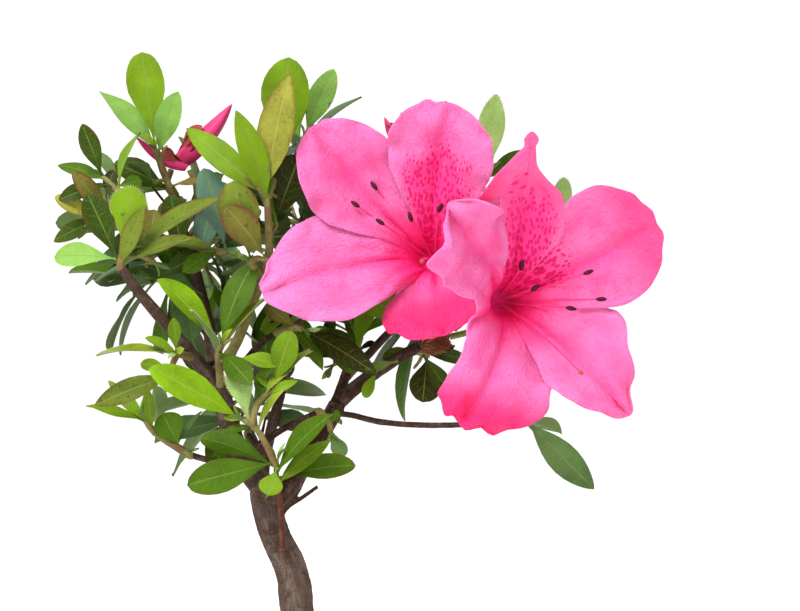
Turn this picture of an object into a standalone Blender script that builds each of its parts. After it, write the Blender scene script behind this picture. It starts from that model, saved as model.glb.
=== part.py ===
"""A small azalea shrub: a leaning trunk, its boughs, masses of leaves and two open blooms.

Every named size is in millimetres, and MM turns it into metres where a mesh is made.
X runs to the right, Y away from the front, and Z up from the ground at the trunk's foot.
A bearing on the clock is in degrees, clockwise from straight up as seen from the front.
"""
import math
import random
from collections import namedtuple

import bmesh
import bpy
from mathutils import Matrix, Vector
from mathutils.bvhtree import BVHTree

MM = 0.001
FLAT = math.radians(1)  # faces closer than this in angle are one flat face
GAP = 0.3               # clear space between one solid and the next
UP = Vector((0, 0, 1))
FRONT = Vector((0, -1, 0))

# Limbs
TRUNK_FOOT = 4.6        # radius just above the root flare
TRUNK_TOP = 3.6         # radius where the trunk forks
FLARE_WIDTH = 4.6       # how far the root flare stands out at the ground
FLARE_HEIGHT = 10.0
FLARE_LOBES = 5
LOBE_DEPTH = 0.28       # share of the flare that the lobes take away between them
TRUNK_SIDES = 12
LIMB_SIDES = 6
SPAN_STEPS = 2          # rings between two control points of a limb

# Twigs
TWIG_RADIUS = 0.9
TWIG_SIDES = 3
TWIG_KNEE = 0.35        # share of its length that a twig keeps its carrier's way
TWIG_SAG = 0.04         # sideways bend, of its length
STEM_SWELL = 1.2        # a mass's first twig is thicker at its start
STEM_TRIES = 40         # steps that a mass's first twig may back off from its limb
STEM_STEP = 0.1

# Leaves
LEAF_WIDTH = 0.37       # of the leaf's length
LEAF_THICK = 0.8
PETIOLE = (0.32, 0.42)  # half width and thickness of the leaf's root
PETIOLE_DEPTH = 0.1     # how far the root runs past the twig's middle
LEAF_STATIONS = ((0.29, 0.90), (0.68, 0.96))    # place along the leaf, share of its width
LEAF_ARCH = 0.05        # rise of the blade between root and tip, of its length
ROOT_FIRST = 0.5        # distance of the last leaf's root from the shoot's end
ROOT_STEP = 1.4         # distance between leaf roots along a shoot
LEANS = (14, -16, 24, -6, 8, -26)               # degrees toward the front, in turn
LEAN_TRIES = (0, 10, -10, 20, -20, 30, -30)     # changes of lean that make room for a leaf
BLADE_FROM = 0.3        # share of a leaf, from its root, that may touch its neighbours
ROLL = 22               # degrees a blade may turn about its midrib
EDGE_ROLL = 14          # from edge-on, for a leaf that shows its edge to the front
FACE_FRONT = Vector((0, -0.85, 0.53))
FACE_BACK = Vector((0, 0.8, 0.6))
BACK_LENGTH = 17
BACK_LEAN = -58
DOME_LENGTH = 23
DOME_TOP = 0.95         # height of a dome's first shoot, of its upper radius
DOME_SPAN = 1.55        # height that its shoots are spread over, in the same measure
DOME_DEPTH = 0.62       # how far out its shoots end, of its radii; the leaves go on from there
DOME_SPREAD = (35, 80)  # degrees that leaves open out from their shoot, from first to last
DOME_WIDTH = 0.40       # of the leaf's length
GOLDEN = 137.5

# Blooms
PETAL_ROWS = 8
PETAL_COLUMNS = 4
PETAL_THICK = 0.9
TUBE_RADIUS = 2.1
TUBE_ANGLE = 10
PETAL_PEAK = 0.62       # place along a petal where its end starts to round off
OPENING = (0.10, 0.50)  # part of a petal where the tube opens out to its flare
CURL_FROM = 0.72        # place along a petal where it curls back or in
FILAMENT = 0.45
FILAMENT_SEAT = (1.2, 0.1)      # distance of a stamen's and of the pistil's foot from the axis
FILAMENT_STEPS = 4
ANTHER = (1.3, 0.75)    # half length and half width
CALYX = (1.2, 1.8, 2.3, 2.5)    # radii where the stalk swells under the bloom
STALK = 0.9

Limb = namedtuple("Limb", "path start end parents")
Shoot = namedtuple("Shoot", "at leaves edge back", defaults=((), 1))
Mass = namedtuple("Mass", "limb share shoots")
Petal = namedtuple("Petal", "clock flare length width recurve point peak skew",
                   defaults=(0.1, PETAL_PEAK, 0))
Bloom = namedtuple("Bloom", "base axis petals stamens pistil pedicel")

# Each limb runs through its path, from one radius to the other.
LIMBS = {
    "leader_left": Limb(((-8.3, 1, 70.9), (-11, 1.5, 74.2), (-14, 3, 78), (-17, 5, 86.3),
                         (-19.3, 7, 94.5), (-21, 8, 101)), 3.3, 2.0, ("trunk",)),
    "leader_right": Limb(((-5.5, 1, 66), (-2, 2, 70), (0.6, 5, 75), (3.5, 8, 80), (6.7, 11, 85),
                          (10, 13, 91)), 2.8, 2.2, ("trunk", "leader_left")),
    "bough_upper_left": Limb(((-21.1, 8.2, 101.6), (-23, 13, 112), (-26.5, 17, 126),
                              (-30, 18, 137), (-31, 18, 141)), 1.8, 1.0, ("leader_left",)),
    "bough_far_left": Limb(((-20.3, 7.2, 97), (-24.6, 2, 102), (-29.5, -1, 108), (-35, -3, 115),
                            (-40, -4, 121), (-43, -5, 125.5)), 1.9, 1.2,
                           ("leader_left", "bough_upper_left")),
    "bough_top": Limb(((-20.5, 7.5, 99.5), (-15.5, 5, 106.5), (-11.2, 3, 116.5), (-8, 0, 124),
                       (-6.6, -2, 130)), 1.5, 1.0,
                      ("leader_left", "bough_upper_left", "bough_far_left")),
    "bough_middle": Limb(((-18.5, 6.5, 92), (-14.5, 10, 100), (-10, 10, 106), (-5.4, 8, 109.4)),
                         1.1, 0.8, ("leader_left", "bough_top")),
    "bough_cross": Limb(((-12.3, 2.5, 76.5), (-8.7, 0.5, 81.5), (-4.5, 1, 84.7), (1, 2.5, 87.6),
                         (5, 4.5, 89.4)), 1.0, 0.7, ("leader_left",)),
    "bough_front": Limb(((-3, 0, 50), (-3.2, -5, 56), (-3.3, -7, 62), (-3.6, -8, 67)),
                        1.2, 1.0, ("trunk",)),
    "bough_low_left": Limb(((-14, 3, 78), (-18.6, 1, 77.2), (-22.8, 0, 78), (-26.4, -1, 79.1)),
                           0.9, 0.8, ("leader_left",)),
    "bough_bloom": Limb(((10.6, 13.1, 92), (13.5, 13, 94.6), (19.7, 10, 99.5), (26.5, 7, 103.8),
                         (30.6, 5.5, 106)), 2.1, 1.3, ("leader_right",)),
    "bough_inner": Limb(((8.5, 12.2, 88), (10.5, 17, 94), (13, 22, 101)), 1.6, 1.2,
                        ("leader_right", "bough_bloom")),
    "bough_rear_right": Limb(((11.8, 19.5, 97.5), (20, 26, 106), (30, 30, 117), (38, 30, 130)),
                             1.2, 0.9, ("bough_inner",)),
    "bough_low_right": Limb(((9, 12.5, 89), (13.8, 8, 88.6), (21, 6.5, 87), (31, 4, 86.3),
                             (41, 3, 86.4), (52, 3, 87)), 0.8, 0.7,
                            ("leader_right", "bough_bloom")),
    "bough_rear": Limb(((-7.5, 1, 68), (-8.5, 7, 74), (-7, 14, 84), (-4, 20, 96), (-1, 24, 108)),
                       1.8, 1.0, ("trunk", "leader_left", "leader_right", "bough_cross")),
    "bough_rear_low": Limb(((-7.3, 9, 76.5), (-10, 15, 80), (-13, 21, 83)), 1.2, 0.9,
                           ("bough_rear",)),
    "bough_rear_left": Limb(((-16.5, 4.8, 85), (-20, 14, 92), (-27, 22, 102), (-33, 26, 112)),
                            1.5, 1.0, ("leader_left",)),
    "twig_bud_upper": Limb(((-30.3, 18, 138), (-32, 22.5, 143), (-34, 24, 148), (-33.1, 24, 151.6)),
                           0.8, 0.8, ("bough_upper_left",)),
    "twig_bud_hidden": Limb(((-29.5, 18, 135.5), (-26.5, 16.5, 141), (-26.2, 15.3, 147),
                             (-27.8, 15, 151)), 0.8, 0.7, ("bough_upper_left",)),
    "twig_bare": Limb(((-5, 0.5, 61), (-2.5, 0.5, 65.5), (1.5, 1, 68.3), (5.4, 1.5, 71)),
                      0.7, 0.45, ("trunk", "leader_right")),
}
TRUNK_PATH = ((0, 0, 0), (0.3, 0, 14), (0.7, 0, 28), (0.3, 0, 40), (-1.3, 0, 50.7),
              (-5.2, 0.3, 59), (-7.2, 0.6, 65.5), (-8.1, 0.8, 70))

# Each mass leaves its limb at a share of the limb's length. A leaf is its bearing and its
# length, and a third number is its width as a share of that length.
MASSES = {
    "leaves_front": Mass("bough_front", 1, (
        Shoot((-4.3, -10.5, 78.3), ((-105, 23), (-74, 21), (48, 20), (94, 19.5), (68, 14, 0.33),
                                  (195, 9, 0.7)), back=0),
        Shoot((-12.4, -16, 88.4), ((-62, 26.5, 0.35), (-9, 14, 0.47), (-118, 6)), ((54, 12.5),),
              back=1),
        Shoot((-4.8, -9, 96), ((18, 15, 0.5), (-55, 6), (72, 6.5)), ((38, 13),), back=1),
    )),
    "leaves_heart": Mass("leader_left", 0.82, (
        Shoot((-18.2, -8, 107.1), ((-44, 22.5, 0.35), (20, 23, 0.36), (143, 17)),
              ((43, 16), (-39, 14)), back=1),
    )),
    "leaves_far_left": Mass("bough_far_left", 1, (
        Shoot((-42.6, -5, 129.5), ((12, 17, 0.6), (-92, 19), (25, 14), (127, 16, 0.5),
                                   (-30, 17, 0.45)), ((57, 28), (79, 20)), back=1),
        Shoot((-49, 4, 149), ((-20, 14), (-75, 12), (-120, 13), (95, 10)), ((36, 15),), back=2),
        Shoot((-50, 2, 138), ((-60, 12), (-115, 13), (-25, 14)), back=1),
        Shoot((-35, 0, 127), (), ((-103, 17),), back=0),
    )),
    "leaves_left": Mass("bough_far_left", 0.25, (
        Shoot((-29.3, -9, 104.6), ((-5, 9), (-60, 9)), ((-88, 21),), back=0),
        Shoot((-30.5, -9, 98.6), ((-108, 20, 0.36), (-65, 9)), back=0),
    )),
    "leaves_low_left": Mass("bough_low_left", 1, (
        Shoot((-37.3, -5, 88), ((-76, 15, 0.25), (-43, 14, 0.25), (5, 9, 0.4)), back=1),
        Shoot((-28.3, -2, 80.4), ((-27, 10.5, 0.75), (25, 11, 0.2)), back=0),
    )),
    "leaves_top": Mass("bough_top", 1, (
        Shoot((-7.4, -3, 145.1), ((12, 30, 0.31), (-50, 27.5, 0.25), (-20, 22.5, 0.32), (-4, 15)),
              back=1),
        Shoot((-2.6, 8, 151), ((1, 28.5, 0.46), (-14, 18.5), (70, 12)), back=1),
        Shoot((1.7, 16, 160), ((22, 18.5, 0.36), (-50, 12)), ((54, 18),), back=2),
        Shoot((-6, 5, 135), ((20, 21, 0.5),), back=1),
    )),
    "leaves_centre": Mass("bough_top", 0.72, (
        Shoot((-11.3, -3, 127.2), ((-9, 21, 0.5), (30, 14)), back=1),
        Shoot((-6.5, -7, 127.5), ((-36, 17, 0.5),), back=0),
    )),
    "leaves_blue": Mass("bough_upper_left", 0.6, (
        Shoot((-17.5, 8, 129.9), ((-14, 22, 0.36), (-82, 16, 0.4), (-112, 13), (55, 13)), back=1),
    )),
    "leaves_upper_left": Mass("bough_upper_left", 1, (
        Shoot((-36.1, 10, 156.3), ((-5, 24.5, 0.40), (-44, 22, 0.3), (22, 16, 0.42)), back=1),
        Shoot((-31, 18, 144.5), ((-63, 18.5, 0.5), (-82, 15), (60, 12)), back=2),
    )),
    "leaves_middle": Mass("bough_middle", 1, (
        Shoot((1.7, 2, 110.2), ((121, 22.5, 0.31), (-57, 12, 0.4), (150, 12)), back=1),
    )),
    "leaves_small": Mass("bough_cross", 1, (
        Shoot((8.7, 2.5, 84.6), ((155, 7, 0.6), (20, 6)), back=0),
    )),
    "leaves_bud": Mass("bough_bloom", 0.93, (
        Shoot((33, 11, 103.5), ((188, 12, 0.7), (-92, 12), (150, 12), (100, 14)), back=1),
    )),
    "leaves_low_right": Mass("bough_low_right", 1, (
        Shoot((58, 8, 87.5), ((137, 24.5, 0.32),), ((147, 17),), back=4),
    )),
    "leaves_inner": Mass("bough_inner", 1, (
        Shoot((16, 26, 110), ((-60, 16), (60, 16), (-100, 15), (110, 16), (20, 15), (-20, 13)),
              back=2),
        Shoot((9, 22, 101), ((-20, 13), (-70, 13), (160, 10)), back=1),
    )),
    "leaves_behind_blooms": Mass("bough_rear_right", 1, (
        Shoot((48.8, 26, 150.5), ((5, 21, 0.34), (60, 14), (-60, 14), (120, 15), (-120, 15)), back=2),
        Shoot((32.5, 28, 152), ((-22, 16), (40, 15), (-100, 16), (150, 14)), back=2),
        Shoot((65, 22, 134), ((11, 16), (-30, 17), (70, 14), (130, 14), (-100, 14)), back=2),
    )),
}
# A rear mass sets out its own shoots over a dome: its limb, the limb's share, the dome's
# centre and radii, and how many shoots and how many leaves on each.
Dome = namedtuple("Dome", "limb share centre radii shoots leaves")
DOMES = {
    "leaves_rear_left": Dome("bough_rear_left", 1, (-32, 30, 128), (17, 16, 22), 5, 6),
    "leaves_rear_middle": Dome("bough_rear", 1, (-2, 30, 128), (16, 20, 24), 6, 6),
    "leaves_rear_right": Dome("bough_rear_right", 0.55, (42, 40, 114), (24, 14, 24), 6, 6),
    "leaves_rear_low": Dome("bough_rear_low", 1, (-15, 31, 91), (16, 14, 10), 3, 6),
}

BLOOMS = {
    "bloom_left": Bloom(
        base=(35.4, 14, 127), axis=(-0.20, -0.93, 0.16),
        petals=(Petal(13, 58, 50, 33, 10), Petal(82, 80, 38, 26, 10), Petal(163, 60, 34, 28, -20),
                Petal(257, 64, 52, 30, 6, peak=0.66), Petal(313, 64, 52, 31, 8, skew=2)),
        stamens=((-37, 18.8, 26), (-57, 18.7, 27), (-58, 11.1, 26), (-17, 7.8, 24), (28, 11, 24)),
        pistil=(150, 6.3, 34),
        pedicel=((34.5, 10, 109.6), (35.5, 17, 114), (37, 19.5, 121))),
    "bloom_right": Bloom(
        base=(49, -8, 117), axis=(0.26, -0.95, 0.04),
        petals=(Petal(-3, 56, 56, 24, 6, point=0.55, peak=0.5), Petal(64, 66, 50, 34, 8),
                Petal(134, 66, 50, 30, 14, point=0.3, skew=3),
                Petal(197, 64, 47, 29, 4, peak=0.74, skew=3), Petal(304, 45, 44, 34, 20)),
        stamens=((4, 8.1, 22), (68, 16.6, 28), (51, 4.2, 24), (91, 17.9, 30), (102, 11.5, 27)),
        pistil=(148, 21, 34),
        pedicel=((38.5, 4.5, 108.5), (44, 4, 110), (48, 0, 113))),
}
# A bud swells from its base to its belly and runs to a point.
Bud = namedtuple("Bud", "base tip radius")
BUDS = {
    "bud_upper_left": Bud((-32.3, 24, 152.5), (-17.5, 25, 168.5), 3.6),
    "bud_hidden_left": Bud((-28.5, 15, 151.5), (-41.5, 15.5, 159.5), 2.0),
    "bud_scales": Bud((31.2, 5.3, 106.3), (38.2, 5.6, 108.2), 2.7),
}
BUD_PROFILE = ((0.0, 0.45), (0.18, 0.85), (0.42, 1.0), (0.68, 0.74), (0.88, 0.36))
BUD_SIDES = 7


def clear_scene():
    for item in list(bpy.data.objects):
        bpy.data.objects.remove(item, do_unlink=True)


def material(name, colour, roughness):
    made = bpy.data.materials.new(name)
    made.use_nodes = True
    shader = made.node_tree.nodes["Principled BSDF"]
    shader.inputs["Base Color"].default_value = (*colour, 1)
    shader.inputs["Roughness"].default_value = roughness
    shader.inputs["Metallic"].default_value = 0
    return made


def new_object(name, bm, collection=None):
    """A bmesh in millimetres becomes an object in metres."""
    bmesh.ops.recalc_face_normals(bm, faces=bm.faces)
    bmesh.ops.triangulate(bm, faces=bm.faces)
    bmesh.ops.scale(bm, vec=(MM, MM, MM), verts=bm.verts)
    mesh = bpy.data.meshes.new(name)
    bm.to_mesh(mesh)
    bm.free()
    made = bpy.data.objects.new(name, mesh)
    (collection or bpy.context.scene.collection).objects.link(made)
    return made


def ease(value):
    value = min(1.0, max(0.0, value))
    return value * value * (3 - 2 * value)


def smooth_path(points, steps=SPAN_STEPS):
    """A Catmull-Rom curve through the control points."""
    points = [Vector(p) for p in points]
    ends = [2 * points[0] - points[1], *points, 2 * points[-1] - points[-2]]
    path = []
    for i in range(1, len(ends) - 2):
        a, b, c, d = ends[i - 1:i + 3]
        for k in range(steps):
            t = k / steps
            path.append(0.5 * (2 * b + (c - a) * t + (2 * a - 5 * b + 4 * c - d) * t * t
                               + (3 * b - a - 3 * c + d) * t ** 3))
    return path + [points[-1]]


def taper(path, start, end):
    count = len(path) - 1
    return [start + (end - start) * i / count for i in range(count + 1)]


def tangents(path):
    last = len(path) - 1
    return [(path[min(i + 1, last)] - path[max(i - 1, 0)]).normalized() for i in range(last + 1)]


def add_tube(bm, path, radii, sides, lobes=None):
    """Rings of vertices carried along the path without twisting, closed at both ends."""
    along = tangents(path)
    side = along[0].cross(FRONT)
    if side.length < 0.2:
        side = along[0].cross(Vector((1, 0, 0)))
    rings = []
    for point, way, radius in zip(path, along, radii):
        side = (side - way * side.dot(way)).normalized()
        other = way.cross(side)
        ring = []
        for k in range(sides):
            angle = 2 * math.pi * k / sides
            reach = radius + (lobes(angle, point) if lobes else 0)
            ring.append(bm.verts.new(point + (side * math.cos(angle) + other * math.sin(angle)) * reach))
        rings.append(ring)
    for low, high in zip(rings, rings[1:]):
        for k in range(sides):
            n = (k + 1) % sides
            bm.faces.new((low[k], low[n], high[n], high[k]))
    bm.faces.new(rings[0][::-1])
    bm.faces.new(rings[-1])


def mesh_tree(item):
    """An object's faces, in millimetres, for finding crossings."""
    bm = bmesh.new()
    bm.from_mesh(item.data)
    bmesh.ops.scale(bm, vec=(1 / MM, 1 / MM, 1 / MM), verts=bm.verts)
    tree = BVHTree.FromBMesh(bm)
    bm.free()
    return tree


def is_clear(bm, trees):
    own = BVHTree.FromBMesh(bm)
    return not any(own.overlap(tree) for tree in trees)


def apply_modifiers(item):
    """The object's evaluated mesh takes the place of its base mesh."""
    bpy.context.view_layer.update()
    evaluated = item.evaluated_get(bpy.context.evaluated_depsgraph_get())
    mesh = bpy.data.meshes.new_from_object(evaluated)
    item.modifiers.clear()
    item.data = mesh


def keep_largest(item):
    """Drops loose scraps that a cut leaves, and fills hollows that a union seals."""
    bm = bmesh.new()
    bm.from_mesh(item.data)
    left = set(bm.verts)
    shells = []
    while left:
        shell = {left.pop()}
        front = list(shell)
        while front:
            for edge in front.pop().link_edges:
                for vertex in edge.verts:
                    if vertex in left:
                        left.discard(vertex)
                        shell.add(vertex)
                        front.append(vertex)
        shells.append(shell)
    shells.sort(key=len)
    for shell in shells[:-1]:
        bmesh.ops.delete(bm, geom=list(shell), context="VERTS")
    bmesh.ops.dissolve_limit(bm, angle_limit=FLAT, verts=bm.verts, edges=bm.edges)
    bmesh.ops.triangulate(bm, faces=bm.faces)
    bm.to_mesh(item.data)
    bm.free()


def fuse(item, collection):
    """One Boolean union joins everything in the collection to the object."""
    if collection.objects:
        join = item.modifiers.new("fuse", "BOOLEAN")
        join.operation = "UNION"
        join.solver = "EXACT"
        join.operand_type = "COLLECTION"
        join.collection = collection
        apply_modifiers(item)
        keep_largest(item)
    for part in list(collection.objects):
        bpy.data.objects.remove(part, do_unlink=True)
    bpy.data.collections.remove(collection)


def new_collection(name):
    made = bpy.data.collections.new(name)
    bpy.context.scene.collection.children.link(made)
    return made


def root_flare(angle, point):
    """Five rounded root lobes that die away just above the ground."""
    rise = max(0.0, 1 - point.z / FLARE_HEIGHT)
    lobe = 1 - LOBE_DEPTH + LOBE_DEPTH * math.cos(FLARE_LOBES * angle)
    return FLARE_WIDTH * rise ** 2 * lobe


def make_trunk():
    path = [Vector((0.02 * z, 0, z)) for z in (0, 1.5, 3.5, 6, 9)]
    path += smooth_path(TRUNK_PATH)[SPAN_STEPS:]
    bm = bmesh.new()
    add_tube(bm, path, taper(path, TRUNK_FOOT, TRUNK_TOP), TRUNK_SIDES, root_flare)
    for vertex in bm.verts:
        if vertex.co.z < 0.2:
            vertex.co.z = 0
    return new_object("trunk", bm), path, (TRUNK_FOOT, TRUNK_TOP)


def cut_sleeve(item, path, radii):
    """Takes a limb back to GAP from the limb that carries it."""
    start, end = radii
    way = tangents(path)
    run = [path[0] - way[0] * GAP, *path, path[-1] + way[-1] * GAP]
    bm = bmesh.new()
    sizes = taper(path, start + GAP * 1.2, end + GAP * 1.2)
    add_tube(bm, run, [sizes[0], *sizes, sizes[-1]], TRUNK_SIDES)
    cutter = new_object("sleeve", bm)
    cut = item.modifiers.new("cut", "BOOLEAN")
    cut.operation = "DIFFERENCE"
    cut.solver = "EXACT"
    cut.object = cutter
    apply_modifiers(item)
    bpy.data.objects.remove(cutter, do_unlink=True)


def make_limbs():
    """The trunk and its limbs: name -> (object, path, radii)."""
    limbs = {"trunk": make_trunk()}
    for name, limb in LIMBS.items():
        path = smooth_path(limb.path)
        bm = bmesh.new()
        add_tube(bm, path, taper(path, limb.start, limb.end), LIMB_SIDES)
        item = new_object(name, bm)
        for parent in limb.parents:
            cut_sleeve(item, limbs[parent][1], limbs[parent][2])
        if limb.parents:
            keep_largest(item)
        limbs[name] = (item, path, (limb.start, limb.end))
    return limbs


def bearing(clock, lean):
    """A direction on the clock, leaned toward the front."""
    c, l = math.radians(clock), math.radians(lean)
    return Vector((math.sin(c) * math.cos(l), -math.sin(l), math.cos(c) * math.cos(l)))


def add_leaf(bm, root, way, face, length, width, grow=0.0):
    """A blade with a flat underside and a ridge along its midrib, on a short thick root."""
    normal = (face - way * face.dot(way)).normalized()
    side = way.cross(normal)
    stations = [(-PETIOLE_DEPTH, *PETIOLE)]
    stations += [(t * length, share * width / 2, LEAF_THICK) for t, share in LEAF_STATIONS]
    rings = []
    for place, half, thick in stations:
        rise = 4 * LEAF_ARCH * place * (1 - place / length)
        centre = root + way * place + normal * rise
        low = centre - normal * (thick / 2 + grow)
        reach = side * (half + grow)
        ring = (low - reach, low + reach, centre + normal * (thick / 2 + grow))
        rings.append([bm.verts.new(spot) for spot in ring])
    tip = bm.verts.new(root + way * (length + grow))
    bm.faces.new(rings[0][::-1])
    for near, far in zip(rings, rings[1:]):
        for k in range(3):
            n = (k + 1) % 3
            bm.faces.new((near[k], near[n], far[n], far[k]))
    for k in range(3):
        bm.faces.new((rings[-1][k], rings[-1][(k + 1) % 3], tip))


def shoot_leaves(shoot, rng):
    """Each leaf of a shoot: bearing, lean, length, width share, roll and the way it faces."""
    leaves = []
    for i, (clock, length, *wide) in enumerate(shoot.leaves):
        share = wide[0] if wide else LEAF_WIDTH
        lean = LEANS[i % len(LEANS)]
        leaves.append((clock, lean, length, share, rng.uniform(-ROLL, ROLL), FACE_FRONT))
    for i, (clock, length) in enumerate(shoot.edge):
        level = bearing(clock, 0).cross(FRONT)
        level = level if level.z > 0 else -level
        leaves.append((clock, LEANS[i + 1], length, LEAF_WIDTH, EDGE_ROLL, level))
    for i in range(shoot.back):
        clock = GOLDEN * i + rng.uniform(-30, 30)
        length = BACK_LENGTH * rng.uniform(0.8, 1.1)
        lean = BACK_LEAN + rng.uniform(-14, 14)
        leaves.append((clock, lean, length, LEAF_WIDTH, rng.uniform(-ROLL, ROLL), FACE_BACK))
    return leaves


def dome_shoots(dome, rng):
    """Shoots spread over a dome from its top down by the golden angle."""
    centre = Vector(dome.centre)
    shoots = []
    for i in range(dome.shoots):
        height = DOME_TOP - DOME_SPAN * (i + 0.5) / dome.shoots
        around = math.radians(GOLDEN * i + rng.uniform(-15, 15))
        flat = math.sqrt(1 - height * height)
        spot = (math.cos(around) * flat, math.sin(around) * flat, height)
        offset = Vector([share * radius for share, radius in zip(spot, dome.radii)])
        shoots.append(Shoot(tuple(centre + offset * DOME_DEPTH), (), back=0))
    return shoots


def dome_leaves(shoot, dome, rng):
    """Leaves set round a shoot that points out of the dome, from its tip outwards."""
    axis = (Vector(shoot.at) - Vector(dome.centre)).normalized()
    side = axis.orthogonal().normalized()
    other = axis.cross(side)
    face = (axis + UP).normalized()
    leaves = []
    for i in range(dome.leaves):
        turn = math.radians(GOLDEN * i)
        spread = math.radians(DOME_SPREAD[0] + (DOME_SPREAD[1] - DOME_SPREAD[0]) * i / dome.leaves)
        around = side * math.cos(turn) + other * math.sin(turn)
        way = axis * math.cos(spread) + around * math.sin(spread)
        lean = math.degrees(math.asin(max(-1, min(1, -way.y))))
        clock = math.degrees(math.atan2(way.x, way.z))
        length = DOME_LENGTH * rng.uniform(0.8, 1.1)
        leaves.append((clock, lean, length, DOME_WIDTH, rng.uniform(-ROLL, ROLL), face))
    return leaves


def limb_point(limb, share):
    """A limb's middle, its way and its radius at a share of its length."""
    item, path, radii = limb
    place = share * (len(path) - 1)
    low = min(int(place), len(path) - 2)
    point = path[low].lerp(path[low + 1], place - low)
    return point, (path[low + 1] - path[low]).normalized(), radii[0] + (radii[1] - radii[0]) * share


def twig_path(start, way, hub):
    """A twig sets off along its carrier's way and turns to its hub."""
    reach = (hub - start).length
    knee = start + way * reach * TWIG_KNEE
    mid = knee.lerp(hub, 0.5) + (hub - start).cross(UP).normalized() * reach * TWIG_SAG
    return smooth_path((start, mid, hub))


def path_is_clear(path, foreign, extra):
    bm = bmesh.new()
    add_tube(bm, path, [TWIG_RADIUS + extra] * len(path), TWIG_SIDES)
    clear = is_clear(bm, foreign)
    bm.free()
    return clear


def stem_path(limb, share, hub, foreign):
    """A mass's first twig: from its limb's end along the limb, or from the limb's side."""
    point, way, radius = limb_point(limb, share)
    at_end = share == 1
    heading = way if at_end else (hub - point).normalized()
    for step in range(STEM_TRIES):
        clear = GAP + STEM_STEP * step + (0 if at_end else radius)
        path = twig_path(point + heading * clear, heading, hub)
        if path_is_clear(path, foreign, GAP * 0.8):
            return path
    raise ValueError("a stem has no room")


def branch_path(runs, hub, foreign):
    """A later twig leaves the nearest point of the mass's twigs that gives it room."""
    forks = [(spot, run, i) for run in runs for i, spot in enumerate(run[:-1]) if i]
    forks.sort(key=lambda fork: (fork[0] - hub).length + 0.4 * max(0, fork[0].z - hub.z))
    for spot, run, i in forks:
        path = twig_path(spot, (run[i + 1] - run[i]).normalized(), hub)
        if path_is_clear(path, foreign, GAP):
            return path
    return None


def back_along(path, distance):
    """The point that far back from the path's end, kept off its start."""
    for near, far in zip(path[::-1], path[-2::-1]):
        span = (far - near).length
        if distance <= span or far is path[0]:
            return near.lerp(far, min(distance / span, 0.8))
        distance -= span
    return path[0]


def grow_mass(name, limb, share, shoots, leaf_rule, foreign):
    """Twigs from one stem to every shoot, then each shoot's leaves, fused into one solid."""
    parts = new_collection(name)
    stem = None
    runs = []
    blades = []
    for shoot in shoots:
        hub = Vector(shoot.at)
        path = branch_path(runs, hub, foreign) if runs else stem_path(limb, share, hub, foreign)
        if path is None:
            continue
        bm = bmesh.new()
        thick = TWIG_RADIUS if runs else TWIG_RADIUS * STEM_SWELL
        add_tube(bm, path, taper(path, thick, TWIG_RADIUS * 0.95), TWIG_SIDES)
        if runs:
            new_object("twig", bm, parts)
        else:
            stem = new_object(name, bm)
        runs.append(path)
        for i, leaf in enumerate(leaf_rule(shoot)):
            root = back_along(path, ROOT_FIRST + ROOT_STEP * i)
            place_leaf(leaf, hub, root, foreign, blades, parts)
    fuse(stem, parts)
    return stem


def place_leaf(leaf, hub, root, foreign, blades, parts):
    """A leaf takes the first lean that keeps it clear of the other solids and of its own
    mass's blades, or is left out."""
    clock, lean, length, share, roll, face = leaf
    for extra in LEAN_TRIES:
        tip = hub + bearing(clock, lean + extra) * length
        reach = (tip - root).length
        way = (tip - root) / reach
        turned = Matrix.Rotation(math.radians(roll), 3, way) @ face
        test = bmesh.new()
        add_leaf(test, root, way, turned, reach, share * length, GAP)
        clear = is_clear(test, foreign)
        test.free()
        if not clear:
            continue
        blade = bmesh.new()
        start = root + way * reach * BLADE_FROM
        add_leaf(blade, start, way, turned, reach * (1 - BLADE_FROM), share * length)
        tree = BVHTree.FromBMesh(blade)
        blade.free()
        if any(tree.overlap(other) for other in blades):
            continue
        blades.append(tree)
        bm = bmesh.new()
        add_leaf(bm, root, way, turned, reach, share * length)
        new_object("leaf", bm, parts)
        return


def petal_rows(petal):
    """Place along the petal, radius, height and outward angle, from the throat to the tip."""
    fine = 4
    steps = PETAL_ROWS * fine
    radius, height = TUBE_RADIUS, 0.0
    rows = []
    for i in range(steps + 1):
        t = i / steps
        opened = ease((t - OPENING[0]) / (OPENING[1] - OPENING[0]))
        curled = ease((t - CURL_FROM) / (1 - CURL_FROM))
        angle = math.radians(TUBE_ANGLE + (petal.flare - TUBE_ANGLE) * opened
                             + petal.recurve * curled)
        if i % fine == 0:
            rows.append((t, radius, height, angle))
        radius += math.sin(angle) * petal.length / steps
        height += math.cos(angle) * petal.length / steps
    return rows


def half_width(petal, t, radius, gap):
    """Half the petal's width: its neighbour limits it low down, its own outline higher up."""
    shared = radius * math.radians(gap / 2)
    power = 7
    wide = 1.04 * (shared ** -power + (petal.width / 2) ** -power) ** (-1 / power)
    if t > petal.peak:
        q = (t - petal.peak) / (1 - petal.peak)
        wide *= (1 - petal.point) * math.sqrt(max(0.0, 1 - q ** 2.2)) + petal.point * (1 - q)
    return wide


def bloom_frame(bloom):
    axis = Vector(bloom.axis).normalized()
    up = (UP - axis * UP.dot(axis)).normalized()
    return axis, up, up.cross(axis)


def around_axis(up, right, clock):
    c = math.radians(clock)
    return up * math.cos(c) + right * math.sin(c), right * math.cos(c) - up * math.sin(c)


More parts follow.
